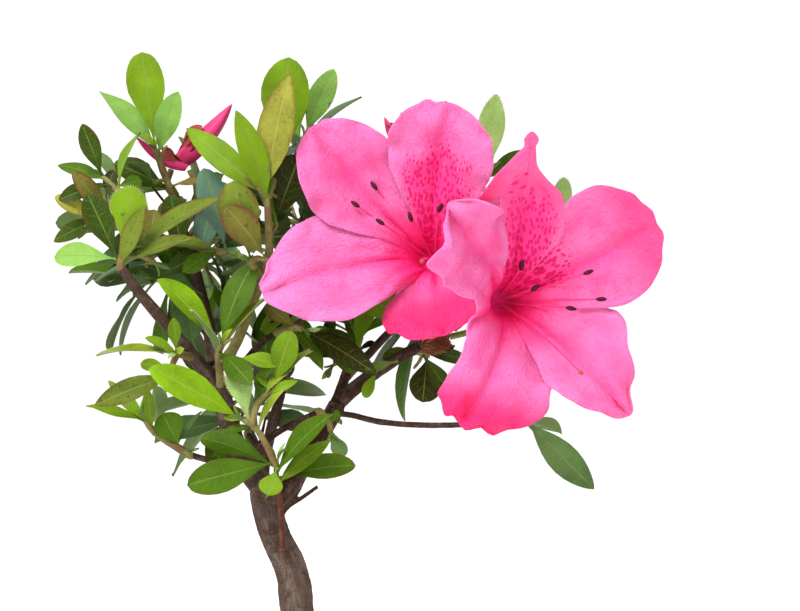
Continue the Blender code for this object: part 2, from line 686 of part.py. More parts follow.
def corolla(bloom):
    """Five petals as one sheet, joined side by side up to the notches and free beyond them."""
    axis, up, right = bloom_frame(bloom)
    base = Vector(bloom.base)
    count = len(bloom.petals)
    grid, joined = [], []
    for k, petal in enumerate(bloom.petals):
        after = bloom.petals[(k + 1) % count]
        before = bloom.petals[k - 1]
        gaps = ((petal.clock - before.clock) % 360, (after.clock - petal.clock) % 360)
        out, across = around_axis(up, right, petal.clock)
        rows = []
        last_joined = 0
        for i, (t, radius, height, angle) in enumerate(petal_rows(petal)):
            centre = base + axis * height + out * radius + across * petal.skew * max(0, t - 0.3) ** 2 * 2
            inward = axis * math.sin(angle) - out * math.cos(angle)
            bend = radius / max(0.06, math.cos(angle))
            row = []
            for j in range(PETAL_COLUMNS + 1):
                v = 2 * j / PETAL_COLUMNS - 1
                x = v * half_width(petal, t, radius, gaps[v > 0])
                row.append(centre + across * bend * math.sin(x / bend)
                           + inward * bend * (1 - math.cos(x / bend)))
            rows.append(row)
            narrow = min(petal.width, after.width) / 2
            if radius * math.radians(gaps[1] / 2) < 0.95 * narrow:
                last_joined = i
        grid.append(rows)
        joined.append(last_joined)
    bm = bmesh.new()
    verts = [[[None] * (PETAL_COLUMNS + 1) for i in range(PETAL_ROWS + 1)] for k in range(count)]
    for k in range(count):
        n = (k + 1) % count
        for i in range(PETAL_ROWS + 1):
            for j in range(PETAL_COLUMNS + 1):
                if j == 0 and i <= joined[k - 1]:
                    continue
                spot = grid[k][i][j]
                if j == PETAL_COLUMNS and i <= joined[k]:
                    spot = (spot + grid[n][i][0]) / 2
                verts[k][i][j] = bm.verts.new(spot)
    for k in range(count):
        for i in range(joined[k - 1] + 1):
            verts[k][i][0] = verts[k - 1][i][PETAL_COLUMNS]
    floor = bm.verts.new(base - axis * 0.3)
    for k in range(count):
        for j in range(PETAL_COLUMNS):
            bm.faces.new((floor, verts[k][0][j + 1], verts[k][0][j]))
            for i in range(PETAL_ROWS):
                near, far = verts[k][i], verts[k][i + 1]
                bm.faces.new((near[j], near[j + 1], far[j + 1], far[j]))
    bmesh.ops.remove_doubles(bm, verts=bm.verts, dist=0.02)
    return bm


def make_bloom(name, bloom):
    """Corolla, stamens, pistil and stalk as one solid."""
    axis, up, right = bloom_frame(bloom)
    base = Vector(bloom.base)
    sheet = corolla(bloom)
    bmesh.ops.scale(sheet, vec=(MM, MM, MM), verts=sheet.verts)
    mesh = bpy.data.meshes.new(name)
    sheet.to_mesh(mesh)
    sheet.free()
    item = bpy.data.objects.new(name, mesh)
    bpy.context.scene.collection.objects.link(item)
    wall = item.modifiers.new("wall", "SOLIDIFY")
    wall.thickness = PETAL_THICK * MM
    wall.offset = -1
    apply_modifiers(item)
    parts = new_collection(name)
    for clock, reach, height in (*bloom.stamens, bloom.pistil):
        out, across = around_axis(up, right, clock)
        seat = FILAMENT_SEAT[(clock, reach, height) == bloom.pistil]
        path = []
        for i in range(FILAMENT_STEPS + 1):
            s = i / FILAMENT_STEPS
            path.append(base + axis * (height * s - 0.5) + out * (seat + (reach - seat) * s ** 1.8))
        bm = bmesh.new()
        add_tube(bm, path, [FILAMENT] * len(path), TWIG_SIDES)
        new_object("filament", bm, parts)
        bm = bmesh.new()
        turn = axis.cross(across).to_track_quat("Z", "Y").to_matrix().to_4x4()
        size = Matrix.Diagonal((ANTHER[1], ANTHER[1], ANTHER[0], 1))
        place = Matrix.Translation(path[-1]) @ turn @ size
        bmesh.ops.create_uvsphere(bm, u_segments=4, v_segments=2, radius=1, matrix=place)
        new_object("anther", bm, parts)
    path = smooth_path((*bloom.pedicel, base - axis * 2.4, base - axis * 0.4))
    radii = [STALK] * len(path)
    radii[-len(CALYX):] = CALYX
    bm = bmesh.new()
    add_tube(bm, path, radii, LIMB_SIDES)
    new_object("stalk", bm, parts)
    fuse(item, parts)
    return item


def make_bud(name, bud):
    base, tip = Vector(bud.base), Vector(bud.tip)
    path = [base.lerp(tip, t) for t, share in BUD_PROFILE] + [tip]
    radii = [bud.radius * share for t, share in BUD_PROFILE] + [0.25]
    bm = bmesh.new()
    add_tube(bm, path, radii, BUD_SIDES)
    return new_object(name, bm)


def grow_all(limbs, solids):
    """Every mass grows in turn, clear of all the solids made before it."""
    trees = {name: mesh_tree(item) for name, item in solids.items()}
    plans = [(name, mass, mass.shoots, shoot_leaves) for name, mass in MASSES.items()]
    plans += [(name, dome, None, None) for name, dome in DOMES.items()]
    for name, plan, shoots, rule in plans:
        rng = random.Random(name)
        if shoots is None:
            shoots = dome_shoots(plan, rng)
            leaf_rule = lambda shoot, plan=plan, rng=rng: dome_leaves(shoot, plan, rng)
        else:
            leaf_rule = lambda shoot, rng=rng: shoot_leaves(shoot, rng)
        foreign = list(trees.values())
        solids[name] = grow_mass(name, limbs[plan.limb], plan.share, shoots, leaf_rule, foreign)
        trees[name] = mesh_tree(solids[name])


def paint(item, made):
    item.data.materials.clear()
    item.data.materials.append(made)


def main():
    clear_scene()
    bark = material("bark", (0.12, 0.08, 0.06), 0.85)
    leaf = material("leaf", (0.16, 0.32, 0.03), 0.5)
    petal = material("petal", (0.98, 0.12, 0.42), 0.55)
    scale = material("bud_scale", (0.17, 0.05, 0.02), 0.7)
    solids = {name: make_bloom(name, bloom) for name, bloom in BLOOMS.items()}
    limbs = make_limbs()
    solids.update({name: item for name, (item, path, radii) in limbs.items()})
    solids.update({name: make_bud(name, bud) for name, bud in BUDS.items()})
    grow_all(limbs, solids)
    for name, item in solids.items():
        if name in limbs:
            paint(item, bark)
        elif name in MASSES or name in DOMES:
            paint(item, leaf)
        else:
            paint(item, scale if name == "bud_scales" else petal)


main()
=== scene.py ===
"""The looks of a small azalea shrub: its bark, twigs, leaves, blooms and buds round the CAD frame.

Named sizes are in millimetres where they repeat the growth rule of the solids, and MM turns them
into metres where a mesh is made. X runs to the right, Y away from the front and Z up.
A bearing on the clock is in degrees, clockwise from straight up as seen from the front.
"""
import math
import random
from collections import namedtuple

import bpy
from bpy.props import FloatProperty, FloatVectorProperty, PointerProperty
from bpy.types import Operator, Panel, PropertyGroup
from mathutils import Matrix, Vector, noise
from mathutils.bvhtree import BVHTree
from mathutils.kdtree import KDTree


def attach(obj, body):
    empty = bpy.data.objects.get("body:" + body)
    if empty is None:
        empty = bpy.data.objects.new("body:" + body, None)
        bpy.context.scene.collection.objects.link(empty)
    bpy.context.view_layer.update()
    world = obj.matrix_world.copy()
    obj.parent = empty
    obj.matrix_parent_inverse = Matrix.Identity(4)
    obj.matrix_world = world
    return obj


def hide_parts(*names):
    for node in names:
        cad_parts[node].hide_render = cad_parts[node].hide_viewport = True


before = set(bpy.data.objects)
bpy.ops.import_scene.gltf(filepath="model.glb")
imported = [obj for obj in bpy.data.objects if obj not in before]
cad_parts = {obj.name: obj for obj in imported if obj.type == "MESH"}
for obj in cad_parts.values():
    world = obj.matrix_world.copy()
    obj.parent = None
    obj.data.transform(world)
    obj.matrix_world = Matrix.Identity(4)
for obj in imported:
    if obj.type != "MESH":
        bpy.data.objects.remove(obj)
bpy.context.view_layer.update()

bl_info = {
    "name": "Azalea shrub looks",
    "version": (1, 0, 0),
    "blender": (4, 5, 0),
    "location": "View3D > Sidebar > Azalea",
    "description": "Bark, twigs, leaves, blooms and buds of a small azalea shrub",
    "category": "Object",
}

MM = 0.001
UP = Vector((0, 0, 1))
FRONT = Vector((0, -1, 0))
RIGHT = Vector((1, 0, 0))

# The growth rule's sizes, as the solids have them: millimetres, degrees and shares of a length
TRUNK_FOOT = 4.6
TRUNK_TOP = 3.6
FLARE_WIDTH = 4.6
FLARE_HEIGHT = 10.0
FLARE_LOBES = 5
LOBE_DEPTH = 0.28
TWIG_RADIUS = 0.9
TWIG_KNEE = 0.35
TWIG_SAG = 0.04
FORK_ABOVE = 0.4        # how much farther a fork counts for each millimetre above the shoot
BACK_LIMIT = 0.8        # a leaf keeps this share of a span off the twig's start
STEM_GAP = 0.3
STEM_TRIES = 40
STEM_STEP = 0.1
LIMB_SPAN = 2           # points to a span of a limb's or a twig's path
LEAF_WIDTH = 0.37
LEAF_ARCH = 0.05
BLADE_MIDDLE = 0.55     # the place on a blade that is tried against its solid
ARCH_THERE = 0.99       # how much of the arch the blade has there
BARK_EDGE = -4.4        # where the low front shoot comes out of the trunk's bark
ROOT_FIRST = 0.5
ROOT_STEP = 1.4
LEANS = (14, -16, 24, -6, 8, -26)
LEAN_TRIES = (0, 10, -10, 20, -20, 30, -30)
ROLL = 22
EDGE_ROLL = 30
EDGE_SHOWN = 0.78       # how much of that roll an edge leaf's blade keeps, always toward the front
FACE_FRONT = Vector((0, -0.85, 0.53))
FACE_BACK = Vector((0, 0.8, 0.6))
BACK_LENGTH = 17
BACK_TURN = 30
BACK_LEAN = -58
BACK_LEAN_SPREAD = 14
LENGTH_SPREAD = (0.8, 1.1)
DOME_LENGTH = 23
DOME_TOP = 0.95
DOME_SPAN = 1.55
DOME_DEPTH = 0.62
DOME_TURN = 15
DOME_SPREAD = (35, 80)
DOME_WIDTH = 0.40
GOLDEN = 137.5
TUBE_RADIUS = 2.1
TUBE_ANGLE = 10
PETAL_PEAK = 0.62
OPENING = (0.10, 0.50)
CURL_FROM = 0.72

# How near a rebuilt leaf or twig lies to its solid
TIP_NEAR = 0.45
BLADE_NEAR = 0.75
PATH_NEAR = 1.3
START_NEAR = 0.06
NO_NEARER = 0.0001      # a later start has to lie nearer by more than this
LEAD_SUNK = 0.5         # a mass's first twig starts this far behind its limb's middle

Limb = namedtuple("Limb", "path start end bark")
Shoot = namedtuple("Shoot", "at leaves edge back tints", defaults=((), 1, "m"))
Mass = namedtuple("Mass", "limb share shoots")
Dome = namedtuple("Dome", "limb share centre radii shoots leaves")
Petal = namedtuple("Petal", "clock flare length width recurve point peak skew blotch ruffle lop over "
                   "pinch cut ear stain fold tipped",
                   defaults=(0.1, PETAL_PEAK, 0, 0, 1, 0, 0, 0, 0, 0, 0, 0, 0))
Bloom = namedtuple("Bloom", "base axis turn petals stamens pistil pedicel")
Bud = namedtuple("Bud", "base tip radius")
Leaf = namedtuple("Leaf", "root way face length width tint node")
Twig = namedtuple("Twig", "path thick node bark", defaults=("young",))

# Each limb runs through its path from one radius to the other, under its own bark.
LIMBS = {
    "leader_left": Limb(((-8.3, 1, 70.9), (-11, 1.5, 74.2), (-14, 3, 78), (-17, 5, 86.3),
                         (-19.3, 7, 94.5), (-21, 8, 101)), 3.3, 2.0, "bough"),
    "leader_right": Limb(((-5.5, 1, 66), (-2, 2, 70), (0.6, 5, 75), (3.5, 8, 80), (6.7, 11, 85),
                          (10, 13, 91)), 2.8, 2.2, "dark"),
    "bough_upper_left": Limb(((-21.1, 8.2, 101.6), (-23, 13, 112), (-26.5, 17, 126),
                              (-30, 18, 137), (-31, 18, 141)), 1.8, 1.0, "bough"),
    "bough_far_left": Limb(((-20.3, 7.2, 97), (-24.6, 2, 102), (-29.5, -1, 108), (-35, -3, 115),
                            (-40, -4, 121), (-43, -5, 125.5)), 1.9, 1.2, "bough"),
    "bough_top": Limb(((-20.5, 7.5, 99.5), (-15.5, 5, 106.5), (-11.2, 3, 116.5), (-8, 0, 124),
                       (-6.6, -2, 130)), 1.5, 1.0, "young"),
    "bough_middle": Limb(((-18.5, 6.5, 92), (-14.5, 10, 100), (-10, 10, 106), (-5.4, 8, 109.4)),
                         1.1, 0.8, "dark"),
    "bough_cross": Limb(((-12.3, 2.5, 76.5), (-8.7, 0.5, 81.5), (-4.5, 1, 84.7), (1, 2.5, 87.6),
                         (5, 4.5, 89.4)), 1.0, 0.7, "dark"),
    "bough_front": Limb(((-3, 0, 50), (-3.2, -5, 56), (-3.3, -7, 62), (-3.6, -8, 67)),
                        1.2, 1.0, "red"),
    "bough_low_left": Limb(((-14, 3, 78), (-18.6, 1, 77.2), (-22.8, 0, 78), (-26.4, -1, 79.1)),
                           0.9, 0.8, "dark"),
    "bough_bloom": Limb(((10.6, 13.1, 92), (13.5, 13, 94.6), (19.7, 10, 99.5), (26.5, 7, 103.8),
                         (30.6, 5.5, 106)), 2.1, 1.3, "dark"),
    "bough_inner": Limb(((8.5, 12.2, 88), (10.5, 17, 94), (13, 22, 101)), 1.6, 1.2, "dark"),
    "bough_rear_right": Limb(((11.8, 19.5, 97.5), (20, 26, 106), (30, 30, 117), (38, 30, 130)),
                             1.2, 0.9, "bough"),
    "bough_low_right": Limb(((9, 12.5, 89), (13.8, 8, 88.6), (21, 6.5, 87), (31, 4, 86.3),
                             (41, 3, 86.4), (52, 3, 87)), 0.8, 0.7, "dark"),
    "bough_rear": Limb(((-7.5, 1, 68), (-8.5, 7, 74), (-7, 14, 84), (-4, 20, 96), (-1, 24, 108)),
                       1.8, 1.0, "bough"),
    "bough_rear_low": Limb(((-7.3, 9, 76.5), (-10, 15, 80), (-13, 21, 83)), 1.2, 0.9, "bough"),
    "bough_rear_left": Limb(((-16.5, 4.8, 85), (-20, 14, 92), (-27, 22, 102), (-33, 26, 112)),
                            1.5, 1.0, "bough"),
    "twig_bud_upper": Limb(((-30.3, 18, 138), (-32, 22.5, 143), (-34, 24, 148), (-33.1, 24, 151.6)),
                           0.8, 0.8, "young"),
    "twig_bud_hidden": Limb(((-29.5, 18, 135.5), (-26.5, 16.5, 141), (-26.2, 15.3, 147),
                             (-27.8, 15, 151)), 0.8, 0.7, "young"),
    "twig_bare": Limb(((-5, 0.5, 61), (-2.5, 0.5, 65.5), (1.5, 1, 68.3), (5.4, 1.5, 71)),
                      0.7, 0.45, "dark"),
}
TRUNK_PATH = ((0, 0, 0), (0.3, 0, 14), (0.7, 0, 28), (0.3, 0, 40), (-1.3, 0, 50.7),
              (-5.2, 0.3, 59), (-7.2, 0.6, 65.5), (-8.1, 0.8, 70))

# Each mass leaves its limb at a share of the limb's length. A leaf is its bearing and length, and
# a third number is its width as a share of that length. A shoot's tints name its leaves' colours
# in turn: b bright, f fresh, m full green, d dark, k darkest, o olive, s speckled, t tinged with
# brown, u blue green, c cool green, g grey green, y yellow green, p pale, h fresh with a hairy
# edge. What a shoot holds is its place, its leaves, its edge leaves and how many it has behind.
MASSES = {
    "leaves_front": Mass("bough_front", 1, (
        Shoot((-4.3, -10.5, 78.3), ((-105, 23), (-74, 21), (48, 20), (94, 19.5), (68, 14, 0.33),
                                  (195, 9, 0.7)), back=0, tints="mmmmff"),
        Shoot((-12.4, -16, 88.4), ((-62, 26.5, 0.35), (-9, 14, 0.47), (-118, 6)), ((54, 12.5),),
              tints="bpmym"),
        Shoot((-4.8, -9, 96), ((18, 15, 0.5), (-55, 6), (72, 6.5)), ((38, 13),), tints="fffym"),
    )),
    "leaves_heart": Mass("leader_left", 0.82, (
        Shoot((-18.2, -8, 107.1), ((-44, 22.5, 0.35), (20, 23, 0.36), (143, 17)),
              ((43, 16), (-39, 14)), tints="bmmypd"),
    )),
    "leaves_far_left": Mass("bough_far_left", 1, (
        Shoot((-42.6, -5, 129.5), ((12, 17, 0.6), (-92, 19), (25, 14), (127, 16, 0.5),
                                   (-30, 17, 0.45)), ((57, 28), (79, 20)), tints="hgsmdssd"),
        Shoot((-49, 4, 149), ((-20, 14), (-75, 12), (-120, 13), (95, 10)), ((36, 15),), back=2,
              tints="dmdmfmd"),
        Shoot((-50, 2, 138), ((-60, 12), (-115, 13), (-25, 14)), tints="odtd"),
        Shoot((-35, 0, 127), (), ((-103, 17),), back=0, tints="u"),
    )),
    "leaves_left": Mass("bough_far_left", 0.25, (
        Shoot((-29.3, -9, 104.6), ((-5, 9), (-60, 9)), ((-88, 21),), back=0, tints="ffy"),
        Shoot((-30.5, -9, 98.6), ((-108, 20, 0.30), (-65, 9)), back=0, tints="sf"),
    )),
    "leaves_low_left": Mass("bough_low_left", 1, (
        Shoot((-37.3, -5, 88), ((-76, 15, 0.25), (-43, 14, 0.25), (5, 9, 0.4)), tints="fffm"),
        Shoot((-28.3, -2, 80.4), ((-27, 10.5, 0.75), (25, 11, 0.2)), back=0, tints="mc"),
    )),
    "leaves_top": Mass("bough_top", 1, (
        Shoot((-7.4, -3, 145.1), ((12, 30, 0.31), (-50, 27.5, 0.25), (-20, 22.5, 0.32), (-4, 15)),
              tints="offmd"),
        Shoot((-2.6, 8, 151), ((1, 28.5, 0.46), (-14, 18.5), (70, 12)), tints="ffdm"),
        Shoot((1.7, 16, 160), ((22, 18.5, 0.36), (-50, 12)), ((54, 18),), back=2, tints="ggcmm"),
        Shoot((-6, 5, 135), ((20, 21, 0.5),), tints="kd"),
    )),
    "leaves_centre": Mass("bough_top", 0.72, (
        Shoot((-11.3, -3, 127.2), ((-9, 21, 0.5), (30, 14)), tints="sod"),
        Shoot((-6.5, -7, 127.5), ((-36, 17, 0.5),), back=0, tints="t"),
    )),
    "leaves_blue": Mass("bough_upper_left", 0.6, (
        Shoot((-17.5, 8, 129.9), ((-14, 22, 0.36), (-82, 16, 0.4), (-112, 13), (55, 13)),
              tints="usmdu"),
    )),
    "leaves_upper_left": Mass("bough_upper_left", 1, (
        Shoot((-36.1, 10, 156.3), ((-5, 24.5, 0.40), (-44, 22, 0.3), (22, 16, 0.42)), tints="fggf"),
        Shoot((-31, 18, 144.5), ((-63, 18.5, 0.5), (-82, 15), (60, 12)), back=2, tints="dgtdm"),
    )),
    "leaves_middle": Mass("bough_middle", 1, (
        Shoot((1.7, 2, 110.2), ((121, 22.5, 0.31), (-57, 12, 0.4), (150, 12)), tints="ktmd"),
    )),
    "leaves_small": Mass("bough_cross", 1, (
        Shoot((8.7, 2.5, 84.6), ((155, 7, 0.6), (20, 6)), back=0, tints="cm"),
    )),
    "leaves_bud": Mass("bough_bloom", 0.93, (
        Shoot((33, 11, 103.5), ((188, 12, 0.7), (-92, 12), (150, 12), (100, 14)), tints="kmdd"),
    )),
    "leaves_low_right": Mass("bough_low_right", 1, (
        Shoot((58, 8, 87.5), ((137, 24.5, 0.32),), ((147, 17),), back=4, tints="ctdmcm"),
    )),
    "leaves_inner": Mass("bough_inner", 1, (
        Shoot((16, 26, 110), ((-60, 16), (60, 16), (-100, 15), (110, 16), (20, 15), (-20, 13)),
              back=2, tints="mfmdfmm"),
        Shoot((9, 22, 101), ((-20, 13), (-70, 13), (160, 10)), tints="mdm"),
    )),
    "leaves_behind_blooms": Mass("bough_rear_right", 1, (
        Shoot((48.8, 26, 150.5), ((5, 21, 0.34), (60, 14), (-60, 14), (120, 15), (-120, 15)),
              back=2, tints="pmmdmm"),
        Shoot((32.5, 28, 152), ((-22, 16), (40, 15), (-100, 16), (150, 14)), back=2, tints="mfmdm"),
        Shoot((65, 22, 134), ((11, 16), (-30, 17), (70, 14), (130, 14), (-100, 14)), back=2,
              tints="ppmdm"),
    )),
}
DOMES = {
    "leaves_rear_left": Dome("bough_rear_left", 1, (-32, 30, 128), (17, 16, 22), 5, 6),
    "leaves_rear_middle": Dome("bough_rear", 1, (-2, 30, 128), (16, 20, 24), 6, 6),
    "leaves_rear_right": Dome("bough_rear_right", 0.55, (42, 40, 114), (24, 14, 24), 6, 6),
    "leaves_rear_low": Dome("bough_rear_low", 1, (-15, 31, 91), (16, 14, 10), 3, 6),
}
DOME_TINTS = ("fm", "md", "mc", "fo", "dm", "bf")

# A petal's stain deepens it toward the flush pink. This is partly its own flush and partly painted
# shade on petals that lie in shade, such as the left bloom's lowest petal. A negative stain makes a
# petal paler instead, as painted light.
BLOOMS = {
    "bloom_left": Bloom(
        base=(35.4, 14, 127), axis=(-0.20, -0.93, 0.16), turn=-1,
        petals=(Petal(13, 58, 50, 33, 10, blotch=1), Petal(82, 80, 38, 26, 10),
                Petal(163, 60, 33, 30, -20, over=0.12, stain=0.95),
                Petal(257, 64, 53, 30, 6, peak=0.66, lop=0.10, point=0.35, skew=-4.5, stain=-0.5),
                Petal(313, 64, 53, 31, 8, skew=2, point=0.3, stain=0.12)),
        stamens=((-37, 18.8, 26), (-57, 18.7, 27), (-58, 11.1, 26), (-17, 7.8, 24), (28, 11, 24)),
        pistil=(150, 6.3, 34),
        pedicel=((34.5, 10, 109.6), (35.5, 17, 114), (37, 19.5, 121))),
    "bloom_right": Bloom(
        base=(49, -8, 117), axis=(0.26, -0.95, 0.04), turn=1,
        petals=(Petal(-3, 56, 56, 25, 6, point=0.55, peak=0.5, blotch=1, pinch=0.70, cut=0.3,
                      ear=11.5, stain=0.4),
                Petal(64, 66, 50, 31, 8, peak=0.66, skew=-2, blotch=0.9, ruffle=0.55, lop=-0.10,
                      stain=0.08, tipped=0.7),
                Petal(134, 66, 50, 29.5, 14, point=0.75, skew=3, ruffle=1.5, lop=-0.12,
                      stain=-0.4, tipped=0.4),
                Petal(197, 64, 45.5, 25.5, 4, peak=0.78, skew=8, ruffle=1.5, lop=-0.28,
                      stain=-0.2, tipped=1.0),
                Petal(312, 42, 49, 37, 26, peak=0.6, ruffle=2.3, lop=0.18, over=-0.05, cut=0.12,
                      stain=0.06, fold=2.4)),
        stamens=((4, 8.1, 22), (68, 16.6, 28), (51, 4.2, 24), (91, 17.9, 30), (102, 11.5, 27)),
        pistil=(148, 21, 34),
        pedicel=((38.5, 4.5, 108.5), (44, 4, 110), (48, 0, 113))),
}
BUDS = {
    "bud_upper_left": Bud((-32.3, 24, 152.5), (-17.5, 25, 168.5), 3.6),
    "bud_hidden_left": Bud((-28.5, 15, 151.5), (-41.5, 15.5, 159.5), 2.0),
    "bud_scales": Bud((31.2, 5.3, 106.3), (38.2, 5.6, 108.2), 2.7),
    "bud_behind": Bud((28, 22.5, 157), (22, 20.5, 164.8), 2.0),
}
BUD_TWIG = ((32.5, 28, 152), (30.2, 25.5, 153.2), (28.4, 22.8, 156.4))

# Radii of the drawn twigs, in millimetres
LEAD_RADIUS = 1.1
RED_SHOOT = 0.8
BUD_TWIG_RADIUS = 0.55
TWIGLET_RADIUS = 0.5
BARE_RADIUS = 0.42

# Finer twigs than the solids have, in millimetres, and their leaves
TWIGLET_GAP = 2.6
TWIGLET_END = 2         # none grow so near a twig's tip
TWIGLET_LENGTHS = (4, 12)
TWIGLET_SUNK = 0.4
TWIGLET_BOW = 0.5
TWIGLET_LEAVES = 5
SMALL_LEAVES = (7, 15)
SMALL_WIDTH = 0.42
SMALL_STEP = 0.9
SMALL_TINTS = "mmddfcck"
BARE_FROM = 1           # only limbs that start thicker than this carry them
BARE_LENGTHS = (6, 15)
BARE_KINK = 0.8

# Where finer twigs may grow: that near a leaf, or in a gap no wider, and clear of the petals
CROWN_REACH = 1.2
GAP_REACH = 34
BLOOM_CLEAR = 2.2

# Leaves that the solids are too coarse for: node, root, bearing, lean, length, width share, tint.
# Each faces the front, tipped a little along its own bearing.
FACE_TIPPED = 0.2
SINGLE_LEAVES = (
    ("leaves_front", (-4.2, -12.2, 76.6), 196, 24, 7.6, 0.80, "f"),
    ("leaves_bud", (25.5, 5.4, 102.4), -108, 10, 9, 0.36, "g"),
    ("leaves_bud", (20.5, 8.4, 100.2), -152, 12, 8, 0.40, "f"),
    ("leaves_middle", (6.5, 5, 108.5), 140, 6, 12, 0.36, "m"),
    ("leaves_middle", (3.5, 4, 109.5), 96, 12, 11, 0.34, "d"),
    ("leaves_blue", (-29, 14, 128), -12, 5, 17, 0.42, "d"),
    ("leaves_blue", (-26, 16, 126), 14, -5, 19, 0.36, "u"),
    ("leaves_blue", (-27, 18, 121), -38, 0, 16, 0.42, "m"),
    ("leaves_blue", (-24, 14, 119), -64, 8, 18, 0.36, "c"),
    ("leaves_far_left", (-38, 6, 126), 8, -8, 15, 0.44, "t"),
    ("leaves_far_left", (-37, 8, 122), 60, -8, 15, 0.38, "d"),
)

# The share of a colour, as it looks in the light here, that its surface reflects
REFLECTED = 0.56

# Where the petals part, and how far each then overlaps its neighbours
NOTCH = 0.40
OVERLAP = 0.16
EAR = (0.72, 0.94)
FLOOR_HEIGHT = 6.2

# Millimetres to one unit of the leaves' and petals' size maps
UNIT = 10

# The stage, in metres, and the camera's sensor in millimetres
FLOOR_PLACE = (0, 0, -0.0002)
LIGHT_PLACE = (-0.45, -0.75, 1.05)
LIGHT_AIM = Vector((0, 0, 0.11))
LIGHT_WIDTH = 0.7
CAMERA_RIGHT = 0.026
CAMERA_HEIGHT = 0.116375
SENSOR = 36

# How a mask fades in
SMOOTH = {"interpolation_type": "SMOOTHSTEP"}

# Fineness of the new meshes
LIMB_SIDES = 20
TWIG_SIDES = 8
TWIG_RINGS = 4
TRUNK_RINGS = (0, 0.8, 1.8, 3, 4.5, 6, 8, 10)
LEAF_ROWS = 14
LEAF_COLUMNS = (-1.0, -0.52, -0.045, 0.045, 0.52, 1.0)
PETAL_MARKS = ([i / 60 for i in range(55)]      # rows along a petal, closer toward its tip
               + [0.9 + 0.1 * math.sin(math.pi / 2 * i / 9) for i in range(1, 10)])
PETAL_ROWS = len(PETAL_MARKS) - 1
PETAL_COLUMNS = 32
FILAMENT_ROWS = 14

# Faces that meet at more than this are the two sides of a thin rim
RIM_ANGLE = math.radians(70)

# A tube that starts this close to straight at the front takes its sides from the right
ALMOST_ALONG = 0.2

# Hairs, in millimetres, and how many a shoot has to a millimetre of its length
HAIR_RADIUS = 0.055
BRISTLES = 3.0
BRISTLE_LENGTHS = (0.5, 0.9)
BRISTLE_SLANT = (0.6, 1.6)
HAIR_SEAT = 0.8         # hairs start inside the skin, at this share of the radius

# A drawn twig: how much it narrows, how uneven it is, how narrow its last ring is, and its skin
TWIG_TAPER = 0.32
TWIG_UNEVEN = (-0.07, 0.10)
TWIG_END = 0.6
TWIG_SKINS = {"young": 0, "bare": 2, "red": 3}

# Where the parts of a leaf's blade are, as shares of its length
PETIOLE_END = 0.07
PETIOLE_HALF = 0.45     # millimetres


def linear(code):
    """An sRGB hex value as linear red, green and blue."""
    parts = [int(code[i:i + 2], 16) / 255 for i in (1, 3, 5)]
    return tuple(c / 12.92 if c <= 0.04045 else ((c + 0.055) / 1.055) ** 2.4 for c in parts)


def paint(name, code, description):
    """A colour setting, given as an sRGB hex value."""
    return FloatVectorProperty(name=name, description=description, subtype="COLOR", size=3,
                               min=0, max=1, default=linear(code))


class BarkSettings(PropertyGroup):
    voxel: FloatProperty(name="Grain of the mesh", description="Size of the wood mesh's faces",
                         default=0.00032, unit="LENGTH")
    relief: FloatProperty(name="Bark relief", description="Depth of the furrows in the trunk's bark",
                          default=0.00030, unit="LENGTH")
    trunk: paint("Trunk", "#6b554a", "Grey brown bark of the trunk")
    bough: paint("Boughs", "#5a4336", "Brown bark of the older boughs")
    dark: paint("Dark boughs", "#4a2e20", "Dark red brown bark of the shaded boughs")
    red: paint("Red shoot", "#6e3a24", "Red brown bark at a young shoot's foot")
    young: paint("Young shoots", "#a39a58", "Olive bark of this year's shoots")
    fuzz: paint("Shoot patches", "#86613c", "Brown patches on this year's shoots")
    hair: paint("Shoot hairs", "#c9bd8f", "Pale hairs on shoots and young leaves")


class LeafSettings(PropertyGroup):
    thickness: FloatProperty(name="Thickness", description="Thickness of a blade at its midrib",
                             default=0.00034, unit="LENGTH")
    fold: FloatProperty(name="Fold", description="Angle that each half of a blade is raised by",
                        default=math.radians(13), subtype="ANGLE")
    vein_spacing: FloatProperty(name="Vein spacing", description="Distance between side veins",
                                default=0.0024, unit="LENGTH")
    bright: paint("Bright", "#91c218", "Leaves in full light")
    fresh: paint("Fresh", "#7a9f1a", "Leaves of this year's shoots")
    full: paint("Full green", "#4f7611", "Grown leaves")
    # Dark and Darkest are painted shade: darker greens for the leaves inside the crown and deep in it,
    # where shade falls.
    dark: paint("Dark", "#3d5813", "Old leaves inside the crown")
    darkest: paint("Darkest", "#34390c", "Leaves deep in the shade")
    olive: paint("Olive", "#b6b548", "Upright leaves that are turning olive")
    speckled: paint("Speckled", "#74872a", "Grown leaves with brown specks")
    tinged: paint("Tinged", "#7a7430", "Leaves that are turning brown")
    blue: paint("Blue green", "#6c9078", "Leaves with a blue bloom")
    cool: paint("Cool green", "#64864a", "Cool green leaves")
    grey: paint("Grey green", "#8aba54", "Leaves that show a pale side")
    yellow: paint("Yellow green", "#9fb92b", "Narrow leaves lit from behind")
    # Pale is partly the young leaves' own colour and partly painted light: it is lighter so that
    # upright leaves facing away from the light still look bright.
    pale: paint("Pale", "#b2da7c", "Young upright leaves")
    underside: paint("Underside", "#75904c", "Matt lower side of the leaves")
    midrib: paint("Midrib", "#a3b552", "Midrib and leaf stalk")


